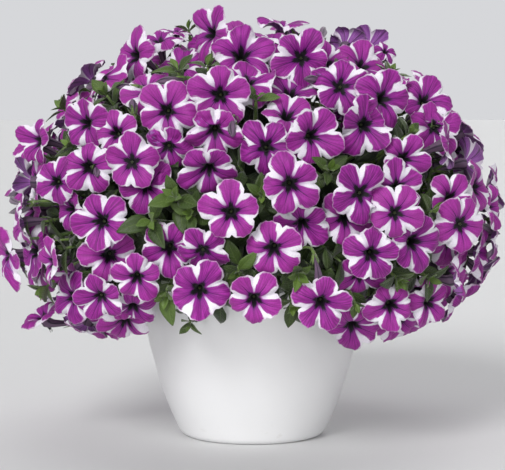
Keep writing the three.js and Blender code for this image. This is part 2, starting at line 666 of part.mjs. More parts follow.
function coreSolid() {
  const ball = new THREE.SphereGeometry(1, CORE_SEGMENTS, CORE_RINGS).rotateX(Math.PI / 2);
  const spots = ball.attributes.position;
  for (let k = 0; k < spots.count; k += 1) {
    const [x, y, z] = [spots.getX(k), spots.getY(k), spots.getZ(k)];
    const bump = 1 + (CORE_BUMP / CORE_SIDE) * Math.sin(41 * x + 3) * Math.cos(37 * y + 29 * z);
    const rise = z > 0 ? CORE_UP : CORE_DOWN;
    spots.setXYZ(k, x * CORE_SIDE * bump, y * CORE_SIDE * bump, CORE_CENTRE + z * rise * bump);
  }
  return solidOf(ball);
}

function foliageSolid(guards) {
  let bush = coreSolid();
  for (const angle of mainStemAngles) {
    bush = bush.add(uprightRod(MAIN_STEM_CIRCLE, angle, MAIN_STEM_FOOT, CORE_CENTRE, MAIN_STEM_RADIUS, 6));
  }
  const tips = SEEN_TIPS.map(([across, up, length, sunk]) => {
    const outline = length < LARGE_LEAF ? SMALL_OUTLINE : LARGE_OUTLINE;
    return { place: seenPlace(across, up, sunk).place, length, outline };
  });
  for (const place of domePlaces(DOME_TIPS, -0.6)) {
    place.addScaledVector(domeOutward(place), -TIP_SUNK);
    const length = draw(28, 36);
    const hidden = place.y > BACK_STARTS;
    const clear = tips.every((other) => other.place.distanceTo(place) > TIP_SPACING);
    if (hidden && clear) tips.push({ place, length, outline: SMALL_OUTLINE });
  }
  for (const { place, length, outline } of tips) bush = bush.add(tipSolid(place, length, outline));
  for (const guard of guards) {
    if (boxesMeet(bush, guard)) bush = bush.subtract(guard);
  }
  return largestPiece(bush);
}

// ---------- materials and the finished group ----------
const plain = (color, roughness) => new THREE.MeshStandardMaterial({ color, roughness, metalness: 0 });
const potWhite = plain(0xe9e9ea, 0.42);
const soilBrown = plain(0x2b211a, 0.95);
const leafGreen = plain(0x4c6b33, 0.7);
const petalPurple = plain(0x942a90, 0.6);

const group = new THREE.Group();
group.name = 'potted_petunia';
const guards = sprays.map((spray) => spraySolid(spray, CLEARANCE));
const finished = [];
sprays.forEach((spray, index) => {
  let solid = spraySolid(spray, 0);
  for (let other = 0; other < index; other += 1) {
    if (boxesMeet(solid, guards[other])) solid = solid.subtract(guards[other]);
  }
  finished.push(largestPiece(solid));
});

group.add(meshOf('pot', potSolid(), potWhite));
group.add(meshOf('soil', soilSolid(), soilBrown));
group.add(meshOf('foliage', foliageSolid(guards), leafGreen));
finished.forEach((solid, index) => {
  const number = String(index + 1).padStart(2, '0');
  group.add(meshOf(`spray_${number}`, solid, petalPurple));
});

export default group;
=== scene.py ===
"""A bushy striped petunia in full bloom, standing in a plain white bowl pot."""

import math
import random

import bpy
import numpy as np
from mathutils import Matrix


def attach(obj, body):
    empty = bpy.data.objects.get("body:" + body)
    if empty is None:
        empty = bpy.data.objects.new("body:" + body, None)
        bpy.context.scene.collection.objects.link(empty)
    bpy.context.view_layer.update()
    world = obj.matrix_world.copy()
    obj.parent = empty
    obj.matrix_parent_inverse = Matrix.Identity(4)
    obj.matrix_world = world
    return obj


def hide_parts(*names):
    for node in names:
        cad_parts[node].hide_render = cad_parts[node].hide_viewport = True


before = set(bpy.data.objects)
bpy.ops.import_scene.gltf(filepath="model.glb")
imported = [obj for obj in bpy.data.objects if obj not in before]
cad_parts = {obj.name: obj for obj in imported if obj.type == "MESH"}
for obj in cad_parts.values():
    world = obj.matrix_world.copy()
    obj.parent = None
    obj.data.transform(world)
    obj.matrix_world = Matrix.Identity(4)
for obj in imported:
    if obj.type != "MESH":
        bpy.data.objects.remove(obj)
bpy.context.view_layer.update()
bpy.context.scene.view_settings.view_transform = "Standard"

# ---------------------------------------------------------------------------
# The pot is a bowl of white polypropylene, injection moulded in one piece, with
# a rounded foot, a rim rolled outwards and four drain holes moulded in its base.
# It is satin outside, faintly mottled from the mould, and scuffed at the foot.
MM = 0.001
POT_OUTSIDE = [(56, 0.8), (57, 0), (64, 0), (67.5, 0.5), (70.4, 2.2), (73, 5), (77, 13),
               (84.5, 30), (92, 51), (98, 73), (103.5, 93), (107.5, 115), (110, 135), (111, 150)]
POT_LIP = [(111.8, 152), (113.4, 153.2), (114, 155.5), (114, 158.6), (113.3, 160.6), (111.9, 161.5),
           (110.4, 161), (109.4, 159.6), (109, 156)]
POT_INSIDE = [(108.5, 150), (107.5, 135), (105, 115), (101, 93), (95.5, 73), (89.5, 51), (82, 30),
              (74.5, 13), (70, 6.5), (64, 4.2), (50, 4)]
POT_AROUND = 160
DRAIN_HOLES = 4
DRAIN_RADIUS = 5
DRAIN_CIRCLE = 42
DRAIN_SIDES = 24


def rgb(red, green, blue):
    """A colour as it looks on a screen, 0 to 255, turned into the light it gives back."""
    parts = []
    for value in (red, green, blue):
        share = value / 255
        parts.append(share / 12.92 if share <= 0.04045 else ((share + 0.055) / 1.055) ** 2.4)
    return (*parts, 1)


def node(tree, kind, wires=None, **settings):
    """A node with its settings, and values or other nodes' outputs led into its sockets."""
    made = tree.nodes.new(kind)
    for name, value in settings.items():
        setattr(made, name, value)
    for name, value in (wires or {}).items():
        value = getattr(value, "socket", value)
        if isinstance(value, bpy.types.NodeSocket):
            tree.links.new(value, made.inputs[name])
        else:
            made.inputs[name].default_value = value
    return made


class Wire:
    """A shader node's output, reckoned with like a number: each sum adds a Math node."""

    def __init__(self, tree, socket):
        self.tree = tree
        self.socket = socket

    def maths(self, operation, other=0.0):
        made = node(self.tree, "ShaderNodeMath", {0: self, 1: other}, operation=operation)
        return Wire(self.tree, made.outputs[0])

    def __add__(self, other):
        return self.maths("ADD", other)

    def __sub__(self, other):
        return self.maths("SUBTRACT", other)

    def __mul__(self, other):
        return self.maths("MULTIPLY", other)

    def ramp(self, low, high, start=0.0, end=1.0):
        """A soft step: start below low, end above high."""
        made = node(self.tree, "ShaderNodeMapRange", {0: self, 1: low, 2: high, 3: start, 4: end},
                    interpolation_type="SMOOTHSTEP")
        return Wire(self.tree, made.outputs[0])

    def blend(self, first, second):
        """The first colour where this is 0, the second where it is 1."""
        made = node(self.tree, "ShaderNodeMix", {0: self, 6: first, 7: second}, data_type="RGBA")
        return Wire(self.tree, made.outputs[2])


def object_place(tree):
    """A place on the piece, in its own coordinates."""
    return node(tree, "ShaderNodeTexCoord").outputs["Object"]


def noise(tree, scale, detail, roughness=0.5):
    """Cloudy noise on the piece's own coordinates."""
    made = node(tree, "ShaderNodeTexNoise", {
        "Vector": object_place(tree), "Scale": scale, "Detail": detail, "Roughness": roughness})
    return Wire(tree, made.outputs[0])


def cells(tree, scale, feature="F1"):
    """A pattern of cells on the piece's own coordinates."""
    made = node(tree, "ShaderNodeTexVoronoi", {
        "Vector": object_place(tree), "Scale": scale}, feature=feature)
    return Wire(tree, made.outputs["Distance"])


def new_material(name, **finish):
    """A material with its shader's plain values set, and the tree and shader to add detail to."""
    made = bpy.data.materials.new(name)
    made.use_nodes = True
    shader = made.node_tree.nodes["Principled BSDF"]
    for socket, value in finish.items():
        shader.inputs[socket.replace("_", " ")].default_value = value
    return made, made.node_tree, shader


def paint(tree, shader, colour, relief=None, strength=0.0, depth=0.0):
    """Leads a colour into a shader, and a relief into its bump."""
    tree.links.new(colour.socket, shader.inputs["Base Color"])
    if relief is not None:
        made = node(tree, "ShaderNodeBump", {"Height": relief, "Strength": strength, "Distance": depth})
        tree.links.new(made.outputs[0], shader.inputs["Normal"])


def add_object(name, data):
    made = bpy.data.objects.new(name, data)
    bpy.context.scene.collection.objects.link(made)
    return made


def mesh_object(name, points, faces, materials, face_materials=None, uv=None, tone=None, edges=()):
    """A smooth-shaded mesh object at the origin, from points in millimetres."""
    mesh = bpy.data.meshes.new(name)
    mesh.from_pydata((np.asarray(points) * MM).tolist(), edges, faces)
    for material in materials:
        mesh.materials.append(material)
    if face_materials is not None:
        mesh.polygons.foreach_set("material_index", face_materials)
    if uv is not None:
        mesh.uv_layers.new(name="UVMap").data.foreach_set("uv", np.asarray(uv, float).ravel())
    if tone is not None:
        mesh.attributes.new("tone", "FLOAT", "POINT").data.foreach_set("value", tone)
    mesh.polygons.foreach_set("use_smooth", [True] * len(mesh.polygons))
    mesh.update()
    return add_object(name, mesh)


def lathe(profile, around):
    """Points and outward faces of a closed form turned about the upright axis."""
    points = [(0, 0, profile[0][1])]
    turns = 2 * np.pi * np.arange(around) / around
    for out, height in profile:
        points.extend(zip(out * np.cos(turns), out * np.sin(turns), np.full(around, height)))
    points.append((0, 0, profile[-1][1]))
    faces = []
    last = len(points) - 1
    for k in range(around):
        n = (k + 1) % around
        faces.append((0, 1 + n, 1 + k))
        for row in range(len(profile) - 1):
            low = 1 + row * around
            high = low + around
            faces.append((low + k, low + n, high + n, high + k))
        top = 1 + (len(profile) - 1) * around
        faces.append((top + k, top + n, last))
    return points, faces


def rounded(profile, steps):
    """A smooth line through the profile's places, each stretch cut into steps."""
    line = []
    ends = [profile[0], *profile, profile[-1]]
    for k in range(1, len(ends) - 2):
        a, b, c, d = (np.array(ends[k + j], float) for j in (-1, 0, 1, 2))
        for step in range(steps):
            t = step / steps
            line.append(0.5 * (2 * b + (c - a) * t + (2 * a - 5 * b + 4 * c - d) * t * t
                               + (3 * b - a - 3 * c + d) * t ** 3))
    line.append(np.array(profile[-1], float))
    return [tuple(place) for place in line]


pot_white, tree, shader = new_material(
    "pot_white", Roughness=0.36, IOR=1.49, Coat_Weight=0.12, Coat_Roughness=0.3)
height = Wire(tree, node(tree, "ShaderNodeSeparateXYZ", {0: object_place(tree)}).outputs[2])
worn = noise(tree, 70, 8, 0.7).ramp(0.55, 0.75) * height.ramp(0.0, 0.028, 1.0, 0.0)
plastic = noise(tree, 9, 4).blend(rgb(231, 231, 232), rgb(238, 238, 238))
plastic = (worn * 0.5).blend(plastic, rgb(196, 192, 184))
paint(tree, shader, plastic, noise(tree, 900, 3), 0.12, 0.0004)
tree.links.new((worn * 0.3 + 0.36).socket, shader.inputs["Roughness"])

pot_profile = [*rounded(POT_OUTSIDE, 3), *rounded(POT_LIP, 3), *rounded(POT_INSIDE, 2)]
pot_points, pot_faces = lathe(pot_profile, POT_AROUND)
# the smooth line would dip a little below the flat base
pot_points = [(x, y, max(z, 0.0)) for x, y, z in pot_points]
pot = mesh_object("bowl_pot", pot_points, pot_faces, [pot_white])
for k in range(DRAIN_HOLES):
    turn = math.pi * (2 * k + 1) / DRAIN_HOLES
    around = 2 * np.pi * np.arange(DRAIN_SIDES) / DRAIN_SIDES
    x = DRAIN_CIRCLE * math.cos(turn) + DRAIN_RADIUS * np.cos(around)
    y = DRAIN_CIRCLE * math.sin(turn) + DRAIN_RADIUS * np.sin(around)
    ends = [(x[j], y[j], z) for z in (-3, 8) for j in range(DRAIN_SIDES)]
    low = list(range(DRAIN_SIDES))
    sides = [(j, n, DRAIN_SIDES + n, DRAIN_SIDES + j) for j, n in zip(low, low[1:] + low[:1])]
    lids = [tuple(low[::-1]), tuple(DRAIN_SIDES + j for j in low)]
    punch = mesh_object("punch", ends, sides + lids, [])
    cut = pot.modifiers.new("drain", "BOOLEAN")
    cut.operation = "DIFFERENCE"
    cut.object = punch
    cut.solver = "EXACT"
    shape = bpy.data.meshes.new_from_object(pot.evaluated_get(bpy.context.evaluated_depsgraph_get()))
    pot.modifiers.remove(cut)
    pot.data = shape
    bpy.data.objects.remove(punch)
pot.data.set_sharp_from_angle(angle=math.radians(50))
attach(pot, "root")
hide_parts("pot")

# ---------------------------------------------------------------------------
# The potting mix is dark peat with bark crumbs and white perlite beads, filled
# loose into the bowl and heaped a little in the middle, round the main stems.
SOIL_TOP = 148
SOIL_CROWN = 151
SOIL_EDGE = 108
SOIL_FOOT = [(60, 4.4), (69, 6.6), (73.9, 13.2), (81.6, 30), (89.1, 51), (95.1, 73), (100.6, 93),
             (104.6, 115), (107.1, 135)]
SOIL_AROUND = 96
SOIL_RINGS = 22
BED_AROUND = 48
CRUMBS = 900
CRUMB_SIZE = 2.2

potting_mix, tree, shader = new_material("potting_mix", Roughness=0.95)
clods = noise(tree, 260, 8, 0.7)
peat = clods.blend(rgb(26, 19, 14), rgb(78, 58, 42))
peat = cells(tree, 170).ramp(0.1, 0.16, 0.75, 0.0).blend(peat, rgb(205, 200, 190))
paint(tree, shader, peat, clods, 0.9, 0.002)

mix_rings = [(SOIL_EDGE - 0.1, SOIL_TOP)]
for k in range(1, SOIL_RINGS):
    heaped = (SOIL_CROWN - SOIL_TOP) * k / SOIL_RINGS
    mix_rings.append((SOIL_EDGE * (1 - k / SOIL_RINGS), SOIL_TOP + heaped))
mix_points, mix_faces = lathe([*SOIL_FOOT, *mix_rings], SOIL_AROUND)
lumps = random.Random(11)
first_top = 1 + (len(SOIL_FOOT) + 1) * SOIL_AROUND
for k in range(first_top, len(mix_points)):
    x, y, z = mix_points[k]
    mix_points[k] = (x, y, z + lumps.uniform(-1.4, 1.2))
mix = mesh_object("potting_mix", mix_points, mix_faces, [potting_mix])


def growth_tree(name, inputs):
    """A geometry tree with named inputs, each of a kind, and the outputs of its input node."""
    tree = bpy.data.node_groups.new(name, "GeometryNodeTree")
    for way in ("INPUT", "OUTPUT"):
        tree.interface.new_socket(name="Geometry", in_out=way, socket_type="NodeSocketGeometry")
    for label, kind in inputs.items():
        tree.interface.new_socket(name=label, in_out="INPUT", socket_type="NodeSocket" + kind)
    return tree, tree.nodes.new("NodeGroupInput").outputs


def drawn_between(tree, low, high, seed):
    """A draw for each point between two numbers or, where the first is a tuple, two vectors."""
    vector = isinstance(low, tuple)
    made = node(tree, "FunctionNodeRandomValue", {
        0 if vector else 2: low, 1 if vector else 3: high, "Seed": seed
    }, data_type="FLOAT_VECTOR" if vector else "FLOAT")
    return made.outputs[0 if vector else 1]


def end_tree(tree, points, shape, turned, scale, finish):
    """Ends a geometry tree with a shape on every point, made real and with its finish set."""
    placed = node(tree, "GeometryNodeInstanceOnPoints", {
        "Points": points, "Instance": shape, "Rotation": turned, "Scale": scale})
    whole = node(tree, "GeometryNodeRealizeInstances", {0: placed.outputs[0]})
    dressed = node(tree, "GeometryNodeSetMaterial", {"Geometry": whole.outputs[0], "Material": finish})
    tree.links.new(dressed.outputs[0], tree.nodes.new("NodeGroupOutput").inputs[0])


def grown(name, base, tree, inputs):
    """Runs a geometry tree on a base with its inputs set, and keeps a plain mesh in its place."""
    modifier = base.modifiers.new("grow", "NODES")
    modifier.node_group = tree
    for item in tree.interface.items_tree:
        if item.name in inputs:
            modifier[item.identifier] = inputs[item.name]
    mesh = bpy.data.meshes.new_from_object(base.evaluated_get(bpy.context.evaluated_depsgraph_get()))
    base.modifiers.remove(modifier)
    bpy.data.objects.remove(base)
    return add_object(name, mesh)


crumb_tree, given = growth_tree("crumbs", {
    "Crumbs per square metre": "Float", "Largest crumb": "Float", "Finish": "Material"})
spot = node(crumb_tree, "GeometryNodeDistributePointsOnFaces", {
    "Mesh": given["Geometry"], "Density": given["Crumbs per square metre"], "Seed": 4})
crumb = node(crumb_tree, "GeometryNodeMeshIcoSphere", {"Radius": 1.0, "Subdivisions": 1})
grade = drawn_between(crumb_tree, (0.3, 0.3, 0.2), (1, 1, 0.6), 5)
sized = node(crumb_tree, "ShaderNodeVectorMath", {
    0: grade, "Scale": given["Largest crumb"]}, operation="SCALE")
end_tree(crumb_tree, spot.outputs[0], crumb.outputs[0], spot.outputs[2], sized.outputs[0],
         given["Finish"])
bed_points, bed_faces = lathe([(4, 150.6), (60, 149.4), (SOIL_EDGE - 4, 148.2)], BED_AROUND)
# loose crumbs lie on one half of the bed
bed = mesh_object("bed", bed_points, bed_faces[len(bed_faces) // 4:-len(bed_faces) // 4], [])
bed_area = math.pi * (SOIL_EDGE * MM) ** 2
crumbs = grown("mix_crumbs", bed, crumb_tree, {
    "Crumbs per square metre": CRUMBS / bed_area, "Largest crumb": CRUMB_SIZE * MM, "Finish": potting_mix})
for piece in (mix, crumbs):
    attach(piece, "root")
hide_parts("soil")

# ---------------------------------------------------------------------------
# The growth of the bush: it has been pinched into an even dome, on which every
# open bloom faces the light. The blooms of the front are where they are seen
# from in front, and the other sides are filled in an even spiral.
DOME_CENTRE = 207
DOME_SIDE = 240
DOME_UP = 200
DOME_DOWN = 130
CORE_CENTRE = 235
CORE_SIDE = 156
CORE_UP = 106
CORE_DOWN = 62
ROOT_CIRCLE = 118
LOWEST_ROOT = 218
ROOT_SUNK = 14
TUBE_LENGTH = 32
FULL_TUBE_RADIUS = 26
RIM_RISE = 0.14
RIM_FORWARD = 5
BLOOM_RADIUS = 29
BLOOM_SPACING = 43
MEETING_DISTANCE = 70
DOME_BLOOMS = 116
BLOOM_SPAN = 1.72
BACK_STARTS = -60
SPRAY_REACH = 74
JOINT_DEPTH = 22
TIP_SPACING = 44
DOME_TIPS = 46
TIP_SPAN = 1.6
FILL_PLACES = 700
FILL_SPAN = 1.74
FILL_DEEPER = 0.95
FILL_SPACING = 32
FILL_FROM_TIPS = 17
FACING_AWAY = -0.32
EDGE_ON = 0.45
UPPER_FRONT = 0.45
COVER_DEPTH = 12
COVER_WIDTH = 34
EYE_DISTANCE = 2200
EYE_HEIGHT = math.radians(5)
EYE_AIM = 200
PICTURE_MIDDLE = (0.5, 210)
# across, up, width, turn to the right, lift, angle of one lobe, how far behind the dome
SEEN_BLOOMS = [
    (-11, 389, 68, 0, 30, 90, 12), (49, 387, 60, 0, 8, 60, 6), (-32, 350, 66, -3, 0, 88, 0),
    (38, 350, 62, 5, 50, 53, 14), (14, 298, 60, 0, 5, 58, 14), (59, 309, 60, 22, 0, 48, 2),
    (38, 261, 62, 5, -5, 38, 0), (-21, 233, 62, 0, 0, 92, 0), (-43, 277, 58, -5, -35, 54, 12),
    (-37, 315, 58, 0, -25, 55, 14), (-85, 334, 60, -8, 0, 62, 4), (-120, 283, 60, -10, 5, 90, 0),
    (-106, 259, 54, 0, -10, 38, 14), (-135, 312, 50, -15, 12, 38, 10), (-165, 322, 54, -35, 5, 90, 4),
    (-116, 389, 58, -50, 5, 90, 4), (-40, 411, 56, -50, 12, 60, 6), (-92, 403, 48, -10, 68, 20, 14),
    (-77, 412, 36, 0, 75, 0, 40), (-148, 366, 52, -60, 30, 0, 6), (-163, 278, 54, -15, 0, 90, 4),
    (-195, 263, 50, -25, 0, 60, 4), (-211, 304, 50, -55, 0, 90, 2), (-222, 263, 50, -95, 0, 0, 0),
    (-180, 236, 48, -50, 0, 46, 12), (-150, 224, 62, -20, 5, 46, 0), (-143, 190, 60, 0, -5, 35, 4),
    (-83, 198, 57, -5, -5, 60, 14), (-49, 195, 56, 0, -35, 45, 10), (-53, 155, 63, -3, -8, 60, 2),
    (2, 146, 57, 0, -15, 54, 0), (21, 197, 60, -12, -15, 100, 4), (50, 222, 58, 5, -30, 35, 12),
    (93, 227, 62, 8, -15, 52, 12), (108, 252, 62, 12, 0, 56, 4), (145, 258, 53, 20, 10, 97, 6),
    (151, 286, 54, 15, 0, 60, 12), (143, 232, 56, 15, 0, 55, 0), (112, 320, 62, 20, 0, 92, 6),
    (130, 346, 62, 40, 5, 70, 0), (88, 358, 60, 10, 15, 80, 8), (119, 191, 62, 8, -10, 14, 4),
    (108, 170, 58, 8, -40, 54, 14), (160, 203, 64, 30, -3, 75, 0), (197, 203, 52, 30, -40, 54, 14),
    (208, 221, 62, 30, -5, 60, 0), (198, 246, 53, 20, 5, 55, 6), (222, 258, 56, 60, 0, 5, 2),
    (193, 300, 50, 80, 10, 30, 2), (214, 281, 52, 110, 0, 0, 8), (182, 318, 60, 25, 10, 10, 4),
    (172, 343, 56, 20, 30, 60, 10), (95, 399, 54, 150, 20, 0, 24), (118, 398, 54, 140, 30, 0, 14),
    (133, 393, 26, 30, 40, 0, 6), (148, 364, 20, 0, 80, 0, 8), (92, 335, 50, 10, -30, 0, 20),
    (-83, 299, 54, -10, -30, 0, 20), (-199, 183, 52, -70, 0, 90, 6), (-244, 190, 54, -70, 0, 90, 0),
    (-230, 222, 50, -75, -10, 0, 6), (-151, 149, 49, -10, -25, 100, 0), (-178, 148, 54, -40, -5, 60, 12),
    (-208, 127, 50, -60, 60, 0, 4), (-115, 168, 52, -3, -20, 90, 2), (-119, 139, 52, 0, -50, 90, 12),
    (69, 143, 60, 5, -15, 80, 0), (100, 120, 60, 5, -45, 50, 12), (138, 140, 55, 15, -15, 55, 8),
    (176, 143, 56, 40, -10, 30, 0), (203, 165, 50, 85, 10, 0, 6), (236, 238, 46, 70, 0, 0, 4),
    (240, 207, 46, 90, 0, 0, 4)]
# closed buds: across and up of the foot, then of the tip
SEEN_BUDS = [
    (-218, 243, -243, 232), (-112, 358, -136, 358), (-66, 367, -96, 363), (-118, 330, -120, 346),
    (-153, 358, -166, 358), (71, 366, 52, 366), (70, 403, 72, 418), (-18, 330, -19, 308),
    (62, 191, 67, 153), (223, 226, 248, 211), (-155, 284, -155, 268), (-228, 240, -240, 247)]
# across, up, length of a leaf, how far the tip is sunk
SEEN_TIPS = [
    (-75, 377, 32, 6), (-45, 382, 24, 14), (-147, 352, 30, 8), (-64, 418, 24, 40), (4, 348, 30, 10),
    (90, 378, 30, 10), (139, 374, 26, 10), (187, 338, 28, 6), (183, 322, 30, 18), (78, 276, 30, 14),
    (182, 234, 30, 14), (238, 226, 26, 8), (-77, 248, 34, 8), (-102, 225, 38, 12), (-14, 172, 30, 12),
    (47, 171, 42, 12), (40, 140, 30, 16), (-87, 152, 38, 12), (-63, 119, 20, 18), (-190, 196, 32, 16),
    (-208, 156, 32, 10), (-225, 206, 26, 14), (146, 166, 32, 12), (178, 166, 32, 10), (104, 140, 24, 22),
    (-190, 338, 30, 8), (-62, 232, 26, 16), (10, 250, 26, 20), (-182, 300, 28, 14), (158, 312, 26, 16)]
forward = np.array([0, math.cos(EYE_HEIGHT), -math.sin(EYE_HEIGHT)])
upward = np.array([0, math.sin(EYE_HEIGHT), math.cos(EYE_HEIGHT)])
eye = np.array([0, 0, EYE_AIM]) - EYE_DISTANCE * forward
growth_seed = 20210615


def draw(low, high):
    """A draw between two numbers, with the seed and the order of the part's source."""
    global growth_seed
    growth_seed = (growth_seed * 1664525 + 1013904223) % 4294967296
    return low + (high - low) * (growth_seed / 4294967296)


def unit(arrow):
    return arrow / np.linalg.norm(arrow)


def apart(first, second):
    return float(np.linalg.norm(first - second))


def cross_axes(axis, given=None):
    """Two directions square to an axis, the first near a given one, or else level."""
    level = np.array([-axis[1], axis[0], 0.0]) if given is None else given - axis * np.dot(axis, given)
    if np.linalg.norm(level) < 0.05:
        level = np.array([1.0, 0.0, 0.0])
    level = unit(level)
    return level, unit(np.cross(axis, level))


def way_round(level, above, turn):
    """A direction square to an axis, from two that cross_axes gives and a turn."""
    return level * math.cos(turn) + above * math.sin(turn)


def ways_round(level, above, turns):
    """The same for an array of turns."""
    return np.cos(turns)[:, None] * level + np.sin(turns)[:, None] * above


def dome_rise(up):
    """How far the dome reaches from its centre, upwards or downwards."""
    return DOME_UP if up > 0 else DOME_DOWN


def dome_outward(place):
    """The way straight out of the dome from a place near it."""
    up = place[2] - DOME_CENTRE
    return unit(np.array([place[0] / DOME_SIDE ** 2, place[1] / DOME_SIDE ** 2, up / dome_rise(up) ** 2]))


def dome_level(place):
    """How far out a place is on the dome, 1 on its skin."""
    up = place[2] - DOME_CENTRE
    return math.hypot(place[0] / DOME_SIDE, place[1] / DOME_SIDE, up / dome_rise(up))


def seen_place(across, up, sunk):
    """Where the line of sight through a place in the picture meets the dome."""
    aside = np.array([across - PICTURE_MIDDLE[0], 0, 0])
    sight = unit(forward * EYE_DISTANCE + aside + upward * (up - PICTURE_MIDDLE[1]))
    front_height = eye[2] + sight[2] * (-DOME_SIDE - eye[1]) / sight[1]
    stretch = DOME_SIDE / dome_rise(front_height - DOME_CENTRE)
    start = np.array([eye[0], eye[1], (eye[2] - DOME_CENTRE) * stretch])
    step = np.array([sight[0], sight[1], sight[2] * stretch])
    a, b, c = step @ step, start @ step, start @ start - DOME_SIDE ** 2
    reach = (-b - math.sqrt(max(0.0, b * b - a * c))) / a + sunk
    return eye + sight * reach, sight, reach


def on_dome(height, turn, deeper=1.0):
    """A place on the dome, or on a smaller one inside it, from its height and its turn."""
    out = DOME_SIDE * math.sqrt(1 - height * height)
    place = np.array([out * math.cos(turn), out * math.sin(turn), height * dome_rise(height)]) * deeper
    return place + np.array([0, 0, DOME_CENTRE])


def spiral(k, count, span, unevenness):
    """The height, 1 at the top and -1 at the foot, and turn of a place on a spiral down the dome."""
    return 1 - ((k + 0.5) / count) * span, k * math.pi * (3 - math.sqrt(5)) + unevenness


def dome_places(count, span):
    return [on_dome(*spiral(k, count, span, draw(-0.08, 0.08))) for k in range(count)]


def faces_cross(first, second):
    """Whether two flat round faces cross, each a throat, a facing and a radius."""
    line = np.cross(first[1], second[1])
    between = second[0] - first[0]
    if np.linalg.norm(line) < 0.02:
        return abs(between @ first[1]) < 1.5 and np.linalg.norm(between) < first[2] + second[2]
    across = np.cross(line, first[1])
    on_line = first[0] + across * ((between @ second[1]) / (across @ second[1]))
    line = unit(line)
    chords = []
    for throat, _, radius in (first, second):
        to_throat = throat - on_line
        along = to_throat @ line
        spare = radius ** 2 - (to_throat @ to_throat - along * along)
        if spare <= 0:
            return False
        chords.append((along - math.sqrt(spare), along + math.sqrt(spare)))
    return chords[0][0] < chords[1][1] and chords[1][0] < chords[0][1]


blooms = []


def settle(throat, facing, radius, roll, plain, away, chance):
    """A bloom gives way, 3 mm at a time, until its face clears those already there."""
    for _ in range(9):
        face = (throat, facing, radius)
        lifted = (throat + facing * RIM_FORWARD, facing, radius)
        near = [other for other in blooms if apart(other["throat"], throat) < MEETING_DISTANCE]
        meets = False
        for other in near:
            theirs = (other["throat"], other["facing"], other["radius"])
            raised = (other["throat"] + other["facing"] * RIM_FORWARD, other["facing"], other["radius"])
            pairs = ((face, theirs), (lifted, theirs), (face, raised))
            meets = meets or any(faces_cross(*pair) for pair in pairs)
        if not meets:
            break
        throat = throat + away * 3
    tube = unit(facing + dome_outward(throat) * 0.8)
    tube_end = throat - tube * TUBE_LENGTH * min(1, radius / FULL_TUBE_RADIUS)
    ruffles = [chance(-1, 1) for _ in range(10)]
    blooms.append({"throat": throat, "facing": facing, "radius": radius, "roll": roll, "plain": plain,
                   "tube": tube, "tube_end": tube_end, "ruffles": ruffles})
    return not meets


for across, up, width, turn, lift, roll, sunk in sorted(SEEN_BLOOMS, key=lambda bloom: bloom[6]):
    place, sight, reach = seen_place(across, up, sunk)
    turned, lifted = math.radians(turn), math.radians(lift)
    level_share = math.cos(lifted)
    facing = np.array([math.sin(turned) * level_share, -math.cos(turned) * level_share, math.sin(lifted)])
    settle(place, facing, width / 2 * reach / EYE_DISTANCE, roll, abs(turn) > 52, sight, draw)
    blooms[-1]["gathered"] = 0.84 if abs(turn) > 130 else 1.0
for place in dome_places(DOME_BLOOMS, BLOOM_SPAN):
    lean_across, lean_up, roll, size = draw(-0.3, 0.3), draw(-0.3, 0.3), draw(0, 72), draw(0.88, 1.08)
    outward = dome_outward(place)
    if place[1] > BACK_STARTS and all(apart(other["throat"], place) > BLOOM_SPACING for other in blooms):
        level, above = cross_axes(outward)
        facing = unit(outward + level * lean_across + above * lean_up)
        settle(place, facing, BLOOM_RADIUS * size, roll, True, -outward, draw)

sprays = []
free = list(range(len(blooms)))
for first in range(len(blooms)):
    if first not in free:
        continue
    start = blooms[first]["tube_end"]
    near = sorted(free, key=lambda k: apart(blooms[k]["tube_end"], start))[:3]
    members = [k for k in near if apart(blooms[k]["tube_end"], start) < SPRAY_REACH]
    free = [k for k in free if k not in members]
    joint = sum(blooms[k]["tube_end"] for k in members) / len(members)
    joint = joint - dome_outward(joint) * JOINT_DEPTH
    sprays.append({"members": members, "joint": joint, "buds": []})
for foot_across, foot_up, tip_across, tip_up in SEEN_BUDS:
    foot = seen_place(foot_across, foot_up, 14)[0]
    tip = seen_place(tip_across, tip_up, 6)[0]
    min(sprays, key=lambda spray: apart(spray["joint"], foot))["buds"].append((foot, tip))

tips = []
for across, up, length, sunk in SEEN_TIPS:
    tips.append((seen_place(across, up, sunk)[0], length))
for place in dome_places(DOME_TIPS, TIP_SPAN):
    place = place - dome_outward(place) * 8
    length = draw(28, 36)
    if place[1] > BACK_STARTS and all(apart(other[0], place) > TIP_SPACING for other in tips):
        tips.append((place, length))


def covered(place):
    """Whether a bloom nearer the eye stands in front of this place."""
    for other in blooms:
        gap = place - other["throat"]
        depth = gap @ forward
        if depth > COVER_DEPTH and apart(gap, forward * depth) < COVER_WIDTH:
            return True
    return False


